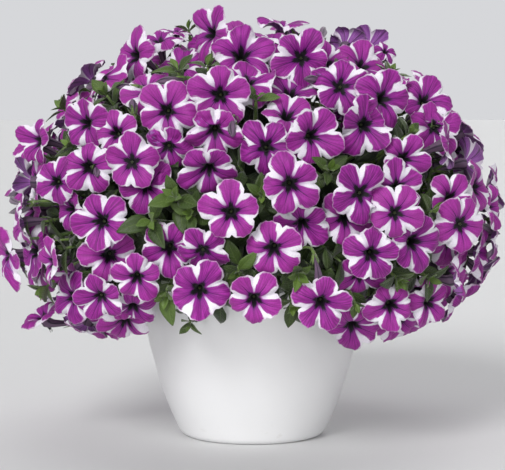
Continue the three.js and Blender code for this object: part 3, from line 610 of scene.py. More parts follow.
# later blooms open between the first ones at the sides, back and top, and then
# at the upper front, where blooms nearer the eye stand before them
for behind_others in (False, True):
    filling = random.Random(32 if behind_others else 31)
    for k in range(FILL_PLACES):
        height, angle = spiral(k, FILL_PLACES, FILL_SPAN, filling.uniform(-0.1, 0.1))
        place = on_dome(height, angle, FILL_DEEPER)
        outward = dome_outward(place)
        lean_across, lean_up = filling.uniform(-0.4, 0.4), filling.uniform(-0.4, 0.4)
        roll, size = filling.uniform(0, 72), filling.uniform(0.84, 1.06)
        crowded = any(apart(other["throat"], place) < FILL_SPACING for other in blooms)
        unseen = place[1] > BACK_STARTS or outward @ forward > FACING_AWAY
        if behind_others:
            unseen = height > UPPER_FRONT and covered(place)
        if not unseen or crowded or any(apart(tip[0], place) < FILL_FROM_TIPS for tip in tips):
            continue
        level, above = cross_axes(outward)
        edge_on = max(0.0, 1 - abs(outward @ forward) / EDGE_ON)
        facing = unit(outward + level * lean_across + above * lean_up - forward * 0.55 * edge_on)
        if not settle(place, facing, BLOOM_RADIUS * size, roll, False, -outward, filling.uniform):
            blooms.pop()
            continue
        nearest = min(sprays, key=lambda spray: apart(spray["joint"], blooms[-1]["tube_end"]))
        nearest["members"].append(len(blooms) - 1)


def root_of(joint):
    """Where a stem from this joint stands in the leafy core."""
    out = math.hypot(joint[0], joint[1])
    inner = min(0.6 * out, ROOT_CIRCLE) / max(out, 1)
    over = joint[2] - CORE_CENTRE
    aim_up = CORE_CENTRE + 0.4 * over if over > 0 else LOWEST_ROOT
    inward = unit(np.array([joint[0] * inner, joint[1] * inner, aim_up]) - joint)
    root = joint.copy()
    for _ in range(90):
        rise = CORE_UP if root[2] > CORE_CENTRE else CORE_DOWN
        if (root[0] ** 2 + root[1] ** 2) / CORE_SIDE ** 2 + ((root[2] - CORE_CENTRE) / rise) ** 2 < 1:
            break
        root = root + inward * 2
    return root + inward * ROOT_SUNK


# ---------------------------------------------------------------------------
# A petal face is one thin trumpet of living tissue with five lobes: velvety
# purple, with a white ray on each join between lobes, a dark vein down the
# middle of each lobe and an almost black throat. Its back is paler and veined,
# and lightened further with painted light for the glow through the thin petals.
PURPLE_DEEP = rgb(108, 18, 106)
PURPLE_LIVE = rgb(164, 43, 156)
RAY_WHITE = rgb(234, 229, 238)
THROAT_DARK = rgb(10, 4, 14)
HALO = rgb(64, 10, 84)


def on_skin(tree):
    """Where a skin's UV is: across and along it, how far from its middle line, and its tone."""
    uv = node(tree, "ShaderNodeUVMap", uv_map="UVMap").outputs[0]
    place = node(tree, "ShaderNodeSeparateXYZ", {0: uv}).outputs
    tone = node(tree, "ShaderNodeAttribute", attribute_name="tone").outputs["Fac"]
    side, along = Wire(tree, place[0]), Wire(tree, place[1])
    return side, along, (side * 2 - 1).maths("ABSOLUTE"), Wire(tree, tone)


def petal_tree(tree):
    """What all petal skins share: place across a lobe, reach, the bloom's tone, streaks and veins."""
    side, reach, across, tone = on_skin(tree)
    lane = node(tree, "ShaderNodeCombineXYZ", {0: side * 22, 1: reach * 2.2, 2: tone * 60}).outputs[0]
    streaks = node(tree, "ShaderNodeTexNoise", {"Vector": lane, "Scale": 1.0, "Detail": 4})
    streaks = Wire(tree, streaks.outputs[0])
    slant = (reach - across * 0.34) * 11 + streaks * 1.3
    return across, reach, tone, streaks, slant.maths("PINGPONG", 0.5).ramp(0.0, 0.13, 1.0, 0.0)


petal_face, tree, shader = new_material(
    "petal_face", Roughness=0.6, Specular_IOR_Level=0.3, Sheen_Weight=0.1, Sheen_Roughness=0.4)
across, reach, tone, streaks, veins = petal_tree(tree)
colour = streaks.ramp(0.32, 0.68).blend(PURPLE_DEEP, PURPLE_LIVE)
colour = (tone * 0.5).blend(colour, rgb(176, 60, 160))
colour = reach.ramp(0.3, 0.7, 0.4, 0.0).blend(colour, rgb(112, 20, 122))
colour = (veins * 0.3).blend(colour, PURPLE_DEEP)
rib_width = reach.ramp(0.28, 0.8, 0.05, 0.008)
rib = (across - rib_width).ramp(-0.014, 0.014, 0.95, 0.0) * reach.ramp(0.6, 1.0, 1.0, 0.3)
colour = rib.blend(colour, rgb(58, 8, 70))
ray_start = reach.ramp(0.25, 0.9, 0.94, 0.74) + (streaks - 0.5) * 0.3 - tone * 0.1
ray_start = ray_start + (noise(tree, 55, 1) - 0.5) * 0.85
ray = (across - ray_start).ramp(-0.05, 0.05) * reach.ramp(0.27, 0.42)
rim_line = across.maths("POWER", 2.5) * 0.16 + streaks * 0.05
margin = (reach + rim_line).ramp(0.99, 1.025, 0.0, 0.8) * across.ramp(0.3, 0.75, 0.35, 1.0)
white = (veins * 0.35).blend(RAY_WHITE, rgb(206, 176, 212))
white = reach.ramp(0.34, 0.7, 0.75, 0.0).blend(white, rgb(186, 150, 196))
colour = ray.maths("MAXIMUM", margin).blend(colour, white)
from_throat = reach + streaks * 0.3 + across * 0.14
colour = from_throat.ramp(0.49, 0.6, 0.75, 0.0).blend(colour, HALO)
colour = from_throat.ramp(0.475, 0.52, 1.0, 0.0).blend(colour, THROAT_DARK)
paint(tree, shader, colour, streaks + veins * -0.35, 0.35, 0.0008)

petal_back, tree, shader = new_material(
    "petal_back", Roughness=0.7, Sheen_Weight=0.25, Sheen_Roughness=0.5)
across, reach, _, streaks, veins = petal_tree(tree)
# paler than the face, and lightened further as painted light shining through the thin petals
colour = streaks.ramp(0.3, 0.7).blend(rgb(128, 56, 146), rgb(164, 100, 178))
colour = (veins * 0.4).blend(colour, rgb(98, 36, 112))
ray_start = reach.ramp(0.2, 1.0, 0.9, 0.62) + streaks * 0.06
colour = (across - ray_start).ramp(-0.05, 0.05).blend(colour, rgb(224, 214, 228))
colour = across.ramp(0.03, 0.09, 0.8, 0.0).blend(colour, rgb(70, 34, 74))
paint(tree, shader, colour, veins * 0.7 - streaks, 0.4, 0.0008)

flower_tube, tree, shader = new_material(
    "flower_tube", Roughness=0.55, Sheen_Weight=0.4, Sheen_Roughness=0.4)
across, _, _, streaks, _ = petal_tree(tree)
colour = across.ramp(0.1, 0.45, 1.0, 0.0).blend(rgb(112, 84, 112), rgb(42, 24, 50))
colour = (streaks * 0.5).blend(colour, rgb(58, 40, 62))
paint(tree, shader, colour, streaks, 0.4, 0.0006)

stigma_green, tree, shader = new_material(
    "stigma_green", Roughness=0.3, Coat_Weight=0.4, Coat_Roughness=0.15)
dots = noise(tree, 2500, 2)
paint(tree, shader, dots.blend(rgb(26, 32, 18), rgb(72, 80, 44)), dots, 0.4, 0.0003)

# ---------------------------------------------------------------------------
# Stalks and calyxes are soft green herb tissue, finely hairy and sticky. A bloom
# sits in a calyx of five narrow sepals on a thin stalk, and two or three stalks
# leave one stem, which comes out of the leafy middle of the bush.
stalk_green, tree, shader = new_material(
    "stalk_green", Roughness=0.55, Sheen_Weight=0.5, Sheen_Roughness=0.4)
down = noise(tree, 1800, 2)
colour = noise(tree, 120, 5).ramp(0.35, 0.65).blend(rgb(52, 76, 28), rgb(104, 130, 56))
colour = down.ramp(0.55, 0.7, 0.0, 0.35).blend(colour, rgb(176, 190, 140))
paint(tree, shader, colour, down, 0.5, 0.0005)

PER_LOBE = 16
FACE_AROUND = 5 * PER_LOBE
MOUTH_RADIUS = 6.0
THROAT_DEPTH = 16
LIMB_STEPS = [0, 0.09, 0.2, 0.33, 0.46, 0.59, 0.71, 0.82, 0.91, 0.97, 1]
THROAT_STEPS = [(0.8, -2.0), (0.62, -5.5), (0.45, -10), (0.28, -14), (0.12, -16)]
LIMB_REACHES = [0.25 + 0.75 * s for s in LIMB_STEPS]
TUBE_STEPS = [(0.12, 1.0), (0.26, 0.8), (0.42, 0.64), (0.6, 0.52), (0.8, 0.42), (1.0, 0.34)]
PETAL_EDGE = 0.25
PETAL_ROOM = 1.8
COVERING_DISTANCE = 75
COVER_FADES = 0.18
DEEPEST_PUSH = 12
FACE, BACK, TUBE, GREEN, STIGMA = range(5)
shaping = random.Random(7)


class Skin:
    """Points, faces, materials, UV and tone of a piece as it is put together."""

    def __init__(self):
        self.points = []
        self.faces = []
        self.finish = []
        self.uv = []
        self.tones = []

    def add(self, points, faces, finish, uv, tone):
        base = len(self.points)
        self.points.extend(points)
        self.tones.extend([tone] * len(points))
        for face, places in zip(faces, uv):
            self.faces.append(tuple(base + k for k in face))
            self.uv.extend(places)
        self.finish.extend([finish] * len(faces))

    def make(self, name, materials):
        return mesh_object(name, self.points, self.faces, materials, self.finish, self.uv, self.tones)


def ring_faces(rows, around, closed_start, closed_end):
    """Quads between rows of points round an axis, with pole triangles where closed."""
    faces = []
    for row in range(rows - 1):
        for k in range(around):
            n = (k + 1) % around
            low = row * around
            faces.append((low + k, low + n, low + around + n, low + around + k))
    if closed_start is not None:
        faces.extend((closed_start, (k + 1) % around, k) for k in range(around))
    if closed_end is not None:
        top = (rows - 1) * around
        faces.extend((top + k, top + (k + 1) % around, closed_end) for k in range(around))
    return faces


def ring_uv(reaches, around, bands):
    """UV of the quads between rows, which have their reaches, with some bands side by side."""
    uv = []
    for low, high in zip(reaches, reaches[1:]):
        for k in range(around):
            left, right = bands * k / around % 1, bands * (k + 1) / around % 1
            right = right if right > left else right + 1
            uv.append([(left, low), (right, low), (right, high), (left, high)])
    return uv


def pole_uv(reach, around):
    """UV of the triangles round a pole."""
    return [[(0.5, reach)] * 3] * around


def pipe(skin, path, radii, around, finish, tone, ribs=None, twist=0.0, bands=1.0):
    """A round closed skin along a path, with a radius at each place, ribbed if asked."""
    path = [np.asarray(place, float) for place in path]
    level = None
    points = []
    turns = 2 * np.pi * np.arange(around) / around
    for k, place in enumerate(path):
        axis = unit(path[min(k + 1, len(path) - 1)] - path[max(k - 1, 0)])
        level, above = cross_axes(axis, level)
        share = k / (len(path) - 1)
        swell = np.ones(around)
        if ribs:
            swell = 1 + ribs[1] * np.cos(ribs[0] * (turns - twist * share))
        points.extend(place + radii[k] * swell[:, None] * ways_round(level, above, turns))
    first, last = len(points), len(points) + 1
    points.append(path[0] - 0.3 * radii[0] * unit(path[1] - path[0]))
    points.append(path[-1] + 0.3 * radii[-1] * unit(path[-1] - path[-2]))
    faces = ring_faces(len(path), around, first, last)
    uv = ring_uv([row / (len(path) - 1) for row in range(len(path))], around, bands)
    skin.add(points, faces, finish, uv + pole_uv(0, around) + pole_uv(1, around), tone)


def bent(start, start_way, end, end_way, steps):
    """Places on a smooth bend that leaves start and arrives at end along the given ways."""
    places = []
    for step in range(steps + 1):
        t = step / steps
        places.append((1 - t) ** 3 * start + 3 * (1 - t) ** 2 * t * (start + start_way)
                      + 3 * (1 - t) * t * t * (end - end_way) + t ** 3 * end)
    return places


def blade(skin, foot, along, side, length, width, outline, finish, tone, curl=0.12, fold=0.1, thick=0.5,
          across=(-1, -0.5, 0, 0.5, 1), wave=0.0, sway=0.0):
    """A leaf-like blade closed all round: its back skin has its UV one higher."""
    normal = np.cross(along, side)
    points = []
    rows = len(outline)
    count = len(across)
    for hand in (1, -1):
        for out, half in outline:
            drop = -curl * length * out * out
            middle = foot + along * (out * length) + normal * drop + side * (sway * length * out * out)
            for part in across:
                rise = fold * abs(part) * half * width
                rise = rise + wave * length * math.sin(9 * out + 2 * part) * part * part
                plump = hand * thick / 2 * (1 - 0.75 * abs(part)) * min(1, 6 * (1 - out) + 0.1)
                points.append(middle + side * (part * half * width) + normal * (rise + plump))
    faces = []
    uv = []
    back = rows * count

    def corner(row, k, skin_row):
        return ((across[k] + 1) / 2, outline[row][0] * 0.98 + skin_row)

    for row in range(rows - 1):
        for k in range(count - 1):
            front = [(row, k), (row + 1, k), (row + 1, k + 1), (row, k + 1)]
            for under, corners in enumerate((front, front[:1] + front[:0:-1])):
                faces.append(tuple(under * back + r * count + j for r, j in corners))
                uv.append([corner(r, j, under) for r, j in corners])
        for k, turn in ((0, 1), (count - 1, -1)):
            a, b = row * count + k, (row + 1) * count + k
            faces.append((a, back + a, back + b, b)[::turn])
            uv.append([corner(row, k, 0)] * 4)
    for row, turn in ((0, -1), (rows - 1, 1)):
        for k in range(count - 1):
            a = row * count + k
            faces.append((a, back + a, back + a + 1, a + 1)[::turn])
            uv.append([corner(row, k, 0)] * 4)
    skin.add(points, faces, finish, uv, tone)


SEPAL_OUTLINE = [(0, 0.7), (0.3, 1), (0.7, 0.85), (1, 0.25)]


def calyx(skin, foot, way, size, tone):
    """Five sepals hugging what stands in them."""
    level, above = cross_axes(way)
    start = shaping.uniform(0, 72)
    for k in range(5):
        outward = way_round(level, above, math.radians(start + 72 * k))
        along = unit(way + outward * shaping.uniform(0.22, 0.42))
        side = unit(np.cross(outward, along))
        blade(skin, foot + outward * 1.2 * size, along, side, 12.5 * size, 1.5 * size, SEPAL_OUTLINE, GREEN,
              tone, curl=-0.05, fold=0.3, thick=0.6, across=(-1, 0, 1))


def each_lobe(low, high):
    """A draw for each of the five lobes."""
    return np.array([shaping.uniform(low, high) for _ in range(5)])


def lobe_edge(lobe, phi):
    """How far the notched lobes reach, as a share of the radius, and the phase of their waves."""
    share = np.abs(phi) / 36
    notch = shaping.uniform(0.66, 0.82)
    tip_reach = each_lobe(0.86, 1.1)[lobe]
    point = each_lobe(0.0, 0.075)[lobe]
    skew = each_lobe(-5, 5)[lobe] * (1 - share ** 2)
    bluntness = shaping.uniform(0.5, 0.85)
    edge = notch + (tip_reach - notch) * (1 - share ** 2.5) ** bluntness
    edge = edge + point * np.exp(-((phi + skew) / 8) ** 2)
    phase = shaping.uniform(0, 6)
    edge = edge + 0.014 * np.sin(phi * 0.42 + 5 * lobe + phase) + 0.008 * np.sin(phi * 1.1 + phase)
    return edge, phase


def shape_face(bloom):
    """The five-lobed face of one bloom, as rings from its throat out to its edge."""
    throat, facing, radius = bloom["throat"], bloom["facing"], bloom["radius"]
    level, above = cross_axes(facing)
    scale = radius / BLOOM_RADIUS
    index = np.arange(FACE_AROUND)
    lobe = index // PER_LOBE
    phi = (index % PER_LOBE) * 72 / PER_LOBE - 36
    turn = np.radians(bloom["roll"] + 72 * lobe + phi)
    spoke = ways_round(level, above, turn)
    share = np.abs(phi) / 36
    middle = 1 - share ** 2
    first = np.array(bloom["ruffles"][0::2])[lobe]
    second = np.array(bloom["ruffles"][1::2])[lobe]
    edge, phase = lobe_edge(lobe, phi)
    edge = bloom.get("gathered", 1.0) * radius * edge
    if bloom["plain"]:
        wavy = first * np.exp(-(phi / 18) ** 2) + 0.5 * second * np.sin(phi / 9)
    else:
        wavy = first * np.exp(-((phi + 17) / 11) ** 2) + second * np.exp(-((phi - 17) / 11) ** 2)
    opened = shaping.uniform(1.0, 2.7)
    rise = opened * RIM_RISE * radius * (0.6 + 0.4 * (1 - share ** 3)) + 2.4 * wavy
    pillow = each_lobe(-1.2, 3.4)[lobe] * middle
    twist = each_lobe(-2.6, 2.6)[lobe] * np.sin(math.pi * phi / 36)
    nod = each_lobe(-7.0, 1.8)[lobe] * middle
    curl = each_lobe(0.3, 3.0)[lobe]
    fold_back = each_lobe(-2.5, 6.0)[np.where(phi > 0, lobe, (lobe - 1) % 5)] * share ** 2.5
    warp = shaping.uniform(-5.0, 5.0) * np.cos(2 * turn + shaping.uniform(0, 6))
    warp = warp + shaping.uniform(-3.0, 3.0) * np.cos(turn + shaping.uniform(0, 6))
    mouth = MOUTH_RADIUS * scale
    limb = []
    for s in LIMB_STEPS:
        reach = mouth + (edge - mouth) * s
        lift = rise * (1 - (1 - s) ** 2.0) + nod * s * s - curl * scale * s ** 5
        lift = lift + warp * scale * s * s - fold_back * scale * s ** 3
        lift = lift + (pillow * math.sin(math.pi * s ** 0.8) + twist * s * s) * scale
        groove = -0.9 * np.exp(-(phi / 3.2) ** 2) * math.sin(math.pi * s) * scale
        pleat = 1.0 * np.exp(-((36 - np.abs(phi)) / 6) ** 2) * math.sin(math.pi * s ** 0.8) * scale
        crinkle = 0.45 * np.sin(phi * 0.55 + 3 * lobe + 9 * s + phase) * s
        limb.append(throat + facing * (lift + groove + pleat + crinkle)[:, None] + spoke * reach[:, None])
    bloom.update(limb=limb, turn=turn, phi=phi, spoke=spoke, scale=scale)


def tuck_behind(front, back):
    """Presses a bloom's petals back where a bloom further out covers them."""
    facing, throat = front["facing"], front["throat"]
    points = np.array(back["limb"])
    away = points - throat
    height = away @ facing
    flat = away - height[..., None] * facing
    out = np.linalg.norm(flat, axis=-1)
    level, above = cross_axes(facing)
    angle = np.degrees(np.arctan2(flat @ above, flat @ level))
    nearest = np.round((angle - front["roll"] + 36) * FACE_AROUND / 360).astype(int) % FACE_AROUND
    skin = np.array(front["limb"]) - throat
    heights = skin @ facing
    edge = np.linalg.norm(skin[-1] - heights[-1][:, None] * facing, axis=-1)[nearest]
    mouth = MOUTH_RADIUS * front["radius"] / BLOOM_RADIUS
    row = np.searchsorted(LIMB_STEPS, np.clip((out - mouth) / (edge - mouth), 0, 1))
    surface = np.where(out < mouth + 1, -9.0, heights[row, nearest])
    cover = np.clip((1 + COVER_FADES - out / edge) / COVER_FADES, 0, 1)
    push = np.clip(surface - PETAL_ROOM - height, -DEEPEST_PUSH, 0) * cover
    push = push * np.clip(np.array(LIMB_STEPS) / 0.4, 0, 1)[:, None]
    back["limb"] = list(points + push[..., None] * facing)


def throat_depth(bloom):
    """How deep the throat may go before a petal that passes behind it would show in it."""
    depth = THROAT_DEPTH
    for other in blooms:
        if other is bloom or apart(other["throat"], bloom["throat"]) > COVERING_DISTANCE:
            continue
        away = np.concatenate(other["limb"]) - bloom["throat"]
        behind = -(away @ bloom["facing"])
        out = np.linalg.norm(away + behind[:, None] * bloom["facing"], axis=1)
        inside = behind[(out < MOUTH_RADIUS + 2.5) & (behind > -3)]
        if len(inside):
            depth = min(depth, float(inside.min()) - 1.2)
    return depth


def face_and_throat(skin, bloom, deep, tone):
    """The velvety face, and the throat inside it."""
    throat, facing, spoke = bloom["throat"], bloom["facing"], bloom["spoke"]
    mouth = MOUTH_RADIUS * bloom["scale"]
    rows = [throat + facing * depth * deep + spoke * mouth * share for share, depth in THROAT_STEPS]
    rows = rows[::-1] + bloom["limb"]
    reaches = [0.25 + depth / 70 for _, depth in THROAT_STEPS[::-1]] + LIMB_REACHES
    points = [place for row in rows for place in row]
    points.append(throat - facing * (THROAT_DEPTH + 0.5) * deep)
    faces = ring_faces(len(rows), FACE_AROUND, len(points) - 1, None)
    skin.add(points, faces, FACE, ring_uv(reaches, FACE_AROUND, 5) + pole_uv(0, FACE_AROUND), tone)


def back_and_tube(skin, bloom, tone):
    """The paler back of the petals, and the ribbed tube that bends down to the stalk."""
    throat, facing, tube, tube_end = (bloom[key] for key in ("throat", "facing", "tube", "tube_end"))
    scale = bloom["scale"]
    rows = [row - facing * (PETAL_EDGE + 0.8 * (1 - s)) for s, row in zip(LIMB_STEPS, bloom["limb"])][::-1]
    path = bent(throat - facing * 2, -facing * 9 * scale, tube_end, -tube * 10 * scale, 20)
    given = cross_axes(facing)[0]
    rib = 1 + 0.05 * np.cos(np.radians(5 * bloom["phi"]))
    for t, thin in TUBE_STEPS:
        at = min(19, round(t * 20))
        given, across = cross_axes(unit(path[at] - path[at + 1]), given)
        spread = ((MOUTH_RADIUS * scale + 0.9) * thin * rib)[:, None]
        rows.append(path[round(t * 20)] + ways_round(given, across, bloom["turn"]) * spread)
    points = [place for row in rows for place in row]
    points.append(tube_end - tube)
    faces = ring_faces(len(rows), FACE_AROUND, None, len(points) - 1)
    quads = (len(rows) - 1) * FACE_AROUND
    faces[:quads] = [(b, c, d, a) for a, b, c, d in faces[:quads]]
    reaches = LIMB_REACHES[::-1] + [0.2 - 0.03 * k for k in range(len(TUBE_STEPS))]
    uv = [places[1:] + places[:1] for places in ring_uv(reaches, FACE_AROUND, 5)]
    skin.add(points, faces, BACK, uv + pole_uv(0, FACE_AROUND), tone)
    tube_faces = len(faces) - (len(LIMB_STEPS) - 1) * FACE_AROUND
    skin.finish[-tube_faces:] = [TUBE] * tube_faces


def stamens(skin, bloom, deep, tone):
    """Five stamens round a stigma, deep in the throat."""
    throat, facing = bloom["throat"], bloom["facing"]
    level, above = cross_axes(facing)
    for k in range(5):
        way = way_round(level, above, math.radians(bloom["roll"] + 72 * k))
        head = throat - facing * 8.6 * deep + way * 1.1 * bloom["scale"]
        path = [head - facing * 9 + way * 0.4, head, head + facing * 1.4]
        pipe(skin, path, [0.2, 0.25, 0.55], 5, STIGMA, tone)
    head = throat - facing * 8.0 * deep
    path = [head - facing * 7, head - facing, head, head + facing * 0.7]
    pipe(skin, path, [0.3, 0.3, 0.85, 0.5], 8, STIGMA, tone)


def open_bloom(skin, bloom):
    """One whole bloom: the face and the back meet in a thin rim, over a calyx."""
    tone = shaping.random()
    deep = max(throat_depth(bloom), 2.0) / THROAT_DEPTH * bloom["scale"]
    face_and_throat(skin, bloom, deep, tone)
    base = len(skin.points)
    back_and_tube(skin, bloom, tone)
    top = base - FACE_AROUND - 1
    for k, places in enumerate(ring_uv([1, 1], FACE_AROUND, 5)):
        n = (k + 1) % FACE_AROUND
        skin.faces.append((top + k, top + n, base + n, base + k))
        skin.finish.append(FACE)
        skin.uv.extend(places)
    calyx(skin, bloom["tube_end"] - bloom["tube"] * 1.5, bloom["tube"], 1.0, tone)
    stamens(skin, bloom, deep, tone)


def closed_bud(skin, foot, tip, tone):
    """A furled bud: a pleated dark spindle that twists to a point."""
    way = unit(tip - foot)
    long = apart(tip, foot)
    profile = [(0, 0.5), (0.12, 0.42), (0.25, 0.45), (0.42, 0.7), (0.58, 0.98), (0.7, 1), (0.82, 0.78),
               (0.93, 0.42), (1, 0.12)]
    level = cross_axes(way)[0]
    lean = level * shaping.uniform(-0.08, 0.08) * long
    path = [foot + way * long * t + lean * math.sin(math.pi * t) for t, _ in profile]
    radii = [3.7 * wide for _, wide in profile]
    pipe(skin, path, radii, 30, TUBE, tone, ribs=(5, 0.13), twist=1.3, bands=5)
    calyx(skin, foot - way, way, 0.85, tone)


for bloom in blooms:
    shape_face(bloom)
from_outside = sorted(blooms, key=lambda bloom: -dome_level(bloom["throat"]))
for k, back in enumerate(from_outside):
    for front in from_outside[:k]:
        same_way = front["facing"] @ back["facing"] > 0.1
        if same_way and apart(front["throat"], back["throat"]) < COVERING_DISTANCE:
            tuck_behind(front, back)
spray_skins = []
for spray in sprays:
    skin = Skin()
    root = root_of(spray["joint"])
    joint = spray["joint"]
    stem_way = unit(joint - root)
    long = apart(root, joint)
    path = bent(root, stem_way * long / 3, joint, stem_way * long / 3, 8)
    pipe(skin, path, [2.1] * 7 + [2.3, 2.0], 10, GREEN, 0.5)
    for k in spray["members"]:
        bloom = blooms[k]
        end = bloom["tube_end"] - bloom["tube"] * 1.5
        long = apart(joint, end)
        path = bent(joint, stem_way * long * 0.35, end, bloom["tube"] * long * 0.35, 9)
        pipe(skin, path, [1.5] + [1.25] * 7 + [1.5, 2.3], 8, GREEN, 0.5)
        open_bloom(skin, bloom)
    for foot, tip in spray["buds"]:
        way = unit(tip - foot)
        long = apart(joint, foot)
        path = bent(joint, stem_way * long * 0.35, foot - way, way * long * 0.3, 9)
        pipe(skin, path, [1.2] * 8 + [1.4, 1.9], 8, GREEN, 0.5)
        closed_bud(skin, foot, tip, shaping.random())
    spray_skins.append(skin)
bloom_finishes = [petal_face, petal_back, flower_tube, stalk_green, stigma_green]
for number, skin in enumerate(spray_skins, 1):
    piece = skin.make(f"flowers_{number:02d}", bloom_finishes)
    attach(piece, "root")
    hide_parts(f"spray_{number:02d}")

# ---------------------------------------------------------------------------
# The leaves are oval, soft and sticky, mid green with a sunken pale midrib and
# curved side veins. They stand in rosettes at the tips of the leafy shoots.
LEAF_WIDTH = 0.49
LEAF_SPREAD = 58
LEAF_NEIGHBOURS = 90
TIP_SETTLED = 5
LEAF_OUTLINE = [(0, 0.12), (0.1, 0.2), (0.22, 0.62), (0.38, 0.95), (0.54, 1), (0.7, 0.83), (0.84, 0.53),
                (0.94, 0.24), (1, 0.05)]

leaf_green, tree, shader = new_material(
    "leaf_green", Roughness=0.5, Sheen_Weight=0.25, Sheen_Roughness=0.4)
_, along, across, tone = on_skin(tree)
is_back = along.maths("GREATER_THAN", 0.995)
along = along.maths("FRACT")
side_veins = ((along - across.maths("POWER", 1.4) * 0.2) * 8).maths("PINGPONG", 0.5)
side_veins = side_veins.ramp(0.0, 0.1, 1.0, 0.0) * across.ramp(0.5, 0.95, 1.0, 0.0)
veins = across.ramp(0.03, 0.09, 1.0, 0.0).maths("MAXIMUM", side_veins * 0.55)
# low tones are painted shade on leaves deep in the bush; high tones are young tips
green = tone.blend(rgb(14, 26, 8), rgb(100, 130, 42))
green = noise(tree, 90, 5).ramp(0.35, 0.65, 0.0, 0.3).blend(green, rgb(48, 72, 22))
green = across.ramp(0.8, 1.0, 0.0, 0.2).blend(green, rgb(82, 108, 42))
green = (veins * 0.26).blend(green, rgb(110, 134, 62))
green = (is_back * 0.35).blend(green, rgb(96, 116, 62))
paint(tree, shader, green, noise(tree, 1400, 3) * 0.3 - veins, 0.5, 0.0009)


def pierces(bloom, start, end):
    """Whether a straight line goes through a bloom's face."""
    before = (start - bloom["throat"]) @ bloom["facing"]
    after = (end - bloom["throat"]) @ bloom["facing"]
    if before * after > 0:
        return False
    crossing = start + (end - start) * (before / (before - after))
    return apart(crossing, bloom["throat"]) < bloom["radius"] + 2


def clear_leaf(place, outward, turn, spread, length, near, chance):
    """A leaf's direction, side and length, closed up and shortened until it clears the blooms."""
    level, above = cross_axes(outward)
    for attempt in range(6):
        reach = length * (1 - 0.13 * attempt)
        angle = math.radians(turn + chance(-12, 12) * (1 + 0.6 * attempt))
        opened = math.radians(spread + chance(-14, 14) - 5 * attempt)
        along = outward * math.cos(opened) + way_round(level, above, angle) * math.sin(opened)
        side = unit(np.cross(outward, along))
        tip = place + along * reach
        middle = place + along * (0.45 * reach)
        lines = [(place, tip)]
        for hand in (-1, 1):
            edge = middle + side * (hand * 0.5 * LEAF_WIDTH * reach)
            lines.extend([(place, edge), (edge, tip)])
        if not any(pierces(bloom, *line) for bloom in near for line in lines):
            break
    return along, side, reach


def before_a_bloom(place):
    """Whether a leaf here would stand in front of an open face."""
    for bloom in blooms:
        away = place - bloom["throat"]
        out = float(away @ bloom["facing"])
        if -6 < out < 40 and np.linalg.norm(away - bloom["facing"] * out) < 0.8 * bloom["radius"]:
            return True
    return False


# from the shoot's end down: leaves in the whorl, turn between them, how far out it
# is, its spread, its leaves' length, their tone and how it varies, curl and fold
WHORLS = [(4, 90, 2, 30, 0.46, 0.78, (-0.2, 0.2), (0.0, 0.2), 0.4),
          (3, 120, -11, 68, 0.95, 0.2, (-0.15, 0.15), (0.05, 0.2), 0.25)]
shoots = Skin()
for place, length in tips:
    outward = dome_outward(place)
    place = place - outward * TIP_SETTLED
    near = [bloom for bloom in blooms if apart(bloom["throat"], place) < LEAF_NEIGHBOURS]
    start = draw(0, 120)
    for k in range(3):
        size = 0.82 * length * draw(0.85, 1.1)
        along, side, reach = clear_leaf(place, outward, start + 120 * k, LEAF_SPREAD, size, near, draw)
        blade(shoots, place, along, side, reach, LEAF_WIDTH * reach / 2, LEAF_OUTLINE, 0,
              0.4 + shaping.uniform(-0.28, 0.22), curl=shaping.uniform(0.02, 0.32), fold=0.32,
              wave=0.02, sway=shaping.uniform(-0.12, 0.12))
    for count, step, further, spread, share, tone, varied, curled, fold in WHORLS:
        foot = place + outward * further
        for k in range(count):
            turn = start + 60 + step * k
            along, side, reach = clear_leaf(foot, outward, turn, spread, length * share, near,
                                            shaping.uniform)
            top = foot if further < 0 else place
            if before_a_bloom(top + along * reach * 0.7):
                continue
            young = further > 0
            blade(shoots, foot, along, side, reach, LEAF_WIDTH * reach / 2, LEAF_OUTLINE, 0,
                  tone + shaping.uniform(*varied), curl=shaping.uniform(*curled), fold=fold,
                  wave=0.0 if young else 0.02, sway=0.0 if young else shaping.uniform(-0.12, 0.12))
    root = root_of(place)
    way = unit(place - root)
    long = apart(place, root)
    path = bent(root, way * long / 3, place + outward * 2, outward * long / 3, 9)
    pipe(shoots, path, [2.2] * 7 + [2.0, 1.7, 1.2], 8, 1, 0.5)
leafy_tips = shoots.make("leafy_tips", [leaf_green, stalk_green])
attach(leafy_tips, "root")
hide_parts("foliage")

# ---------------------------------------------------------------------------
# Four main stems rise out of the mix and branch into many side shoots, which
# end under the blooms. Each shoot has a leaf every few millimetres, set a good
# third of a turn on from the last, so the inside of the bush is closed with leaves.
MAIN_STEMS = 4
MAIN_STEM_CIRCLE = 40
MAIN_STEM_FOOT = 112
MAIN_STEM_SPREAD = 90
MAIN_STEM_TOP = 262.0
SIDE_SHOOTS = 230
SHOOT_SPAN = 1.78
SHOOT_DEPTH = 32
DEEPEST_SHOOT = 78
# inner leaves' tones are painted shade: dark deep in the bush, lifted towards the dome's skin
OUTER_SHADE_LIFT = 0.18
INNER_SHADE_DARKEST = 0.0
INNER_SHADE_LIGHTEST = 0.19
LEAF_GAP = 8.5
INNER_LEAF_LENGTH = 31
INNER_LEAF_HALF = 8.3
INNER_LEAF_TILT = math.radians(58)
wood = Skin()
branch_points = []
branch_edges = []
branching = random.Random(23)


def trace(places):
    """Adds a shoot's line for the leaves to grow on."""
    first = len(branch_points)
    branch_points.extend(places)
    branch_edges.extend((first + k, first + k + 1) for k in range(len(places) - 1))


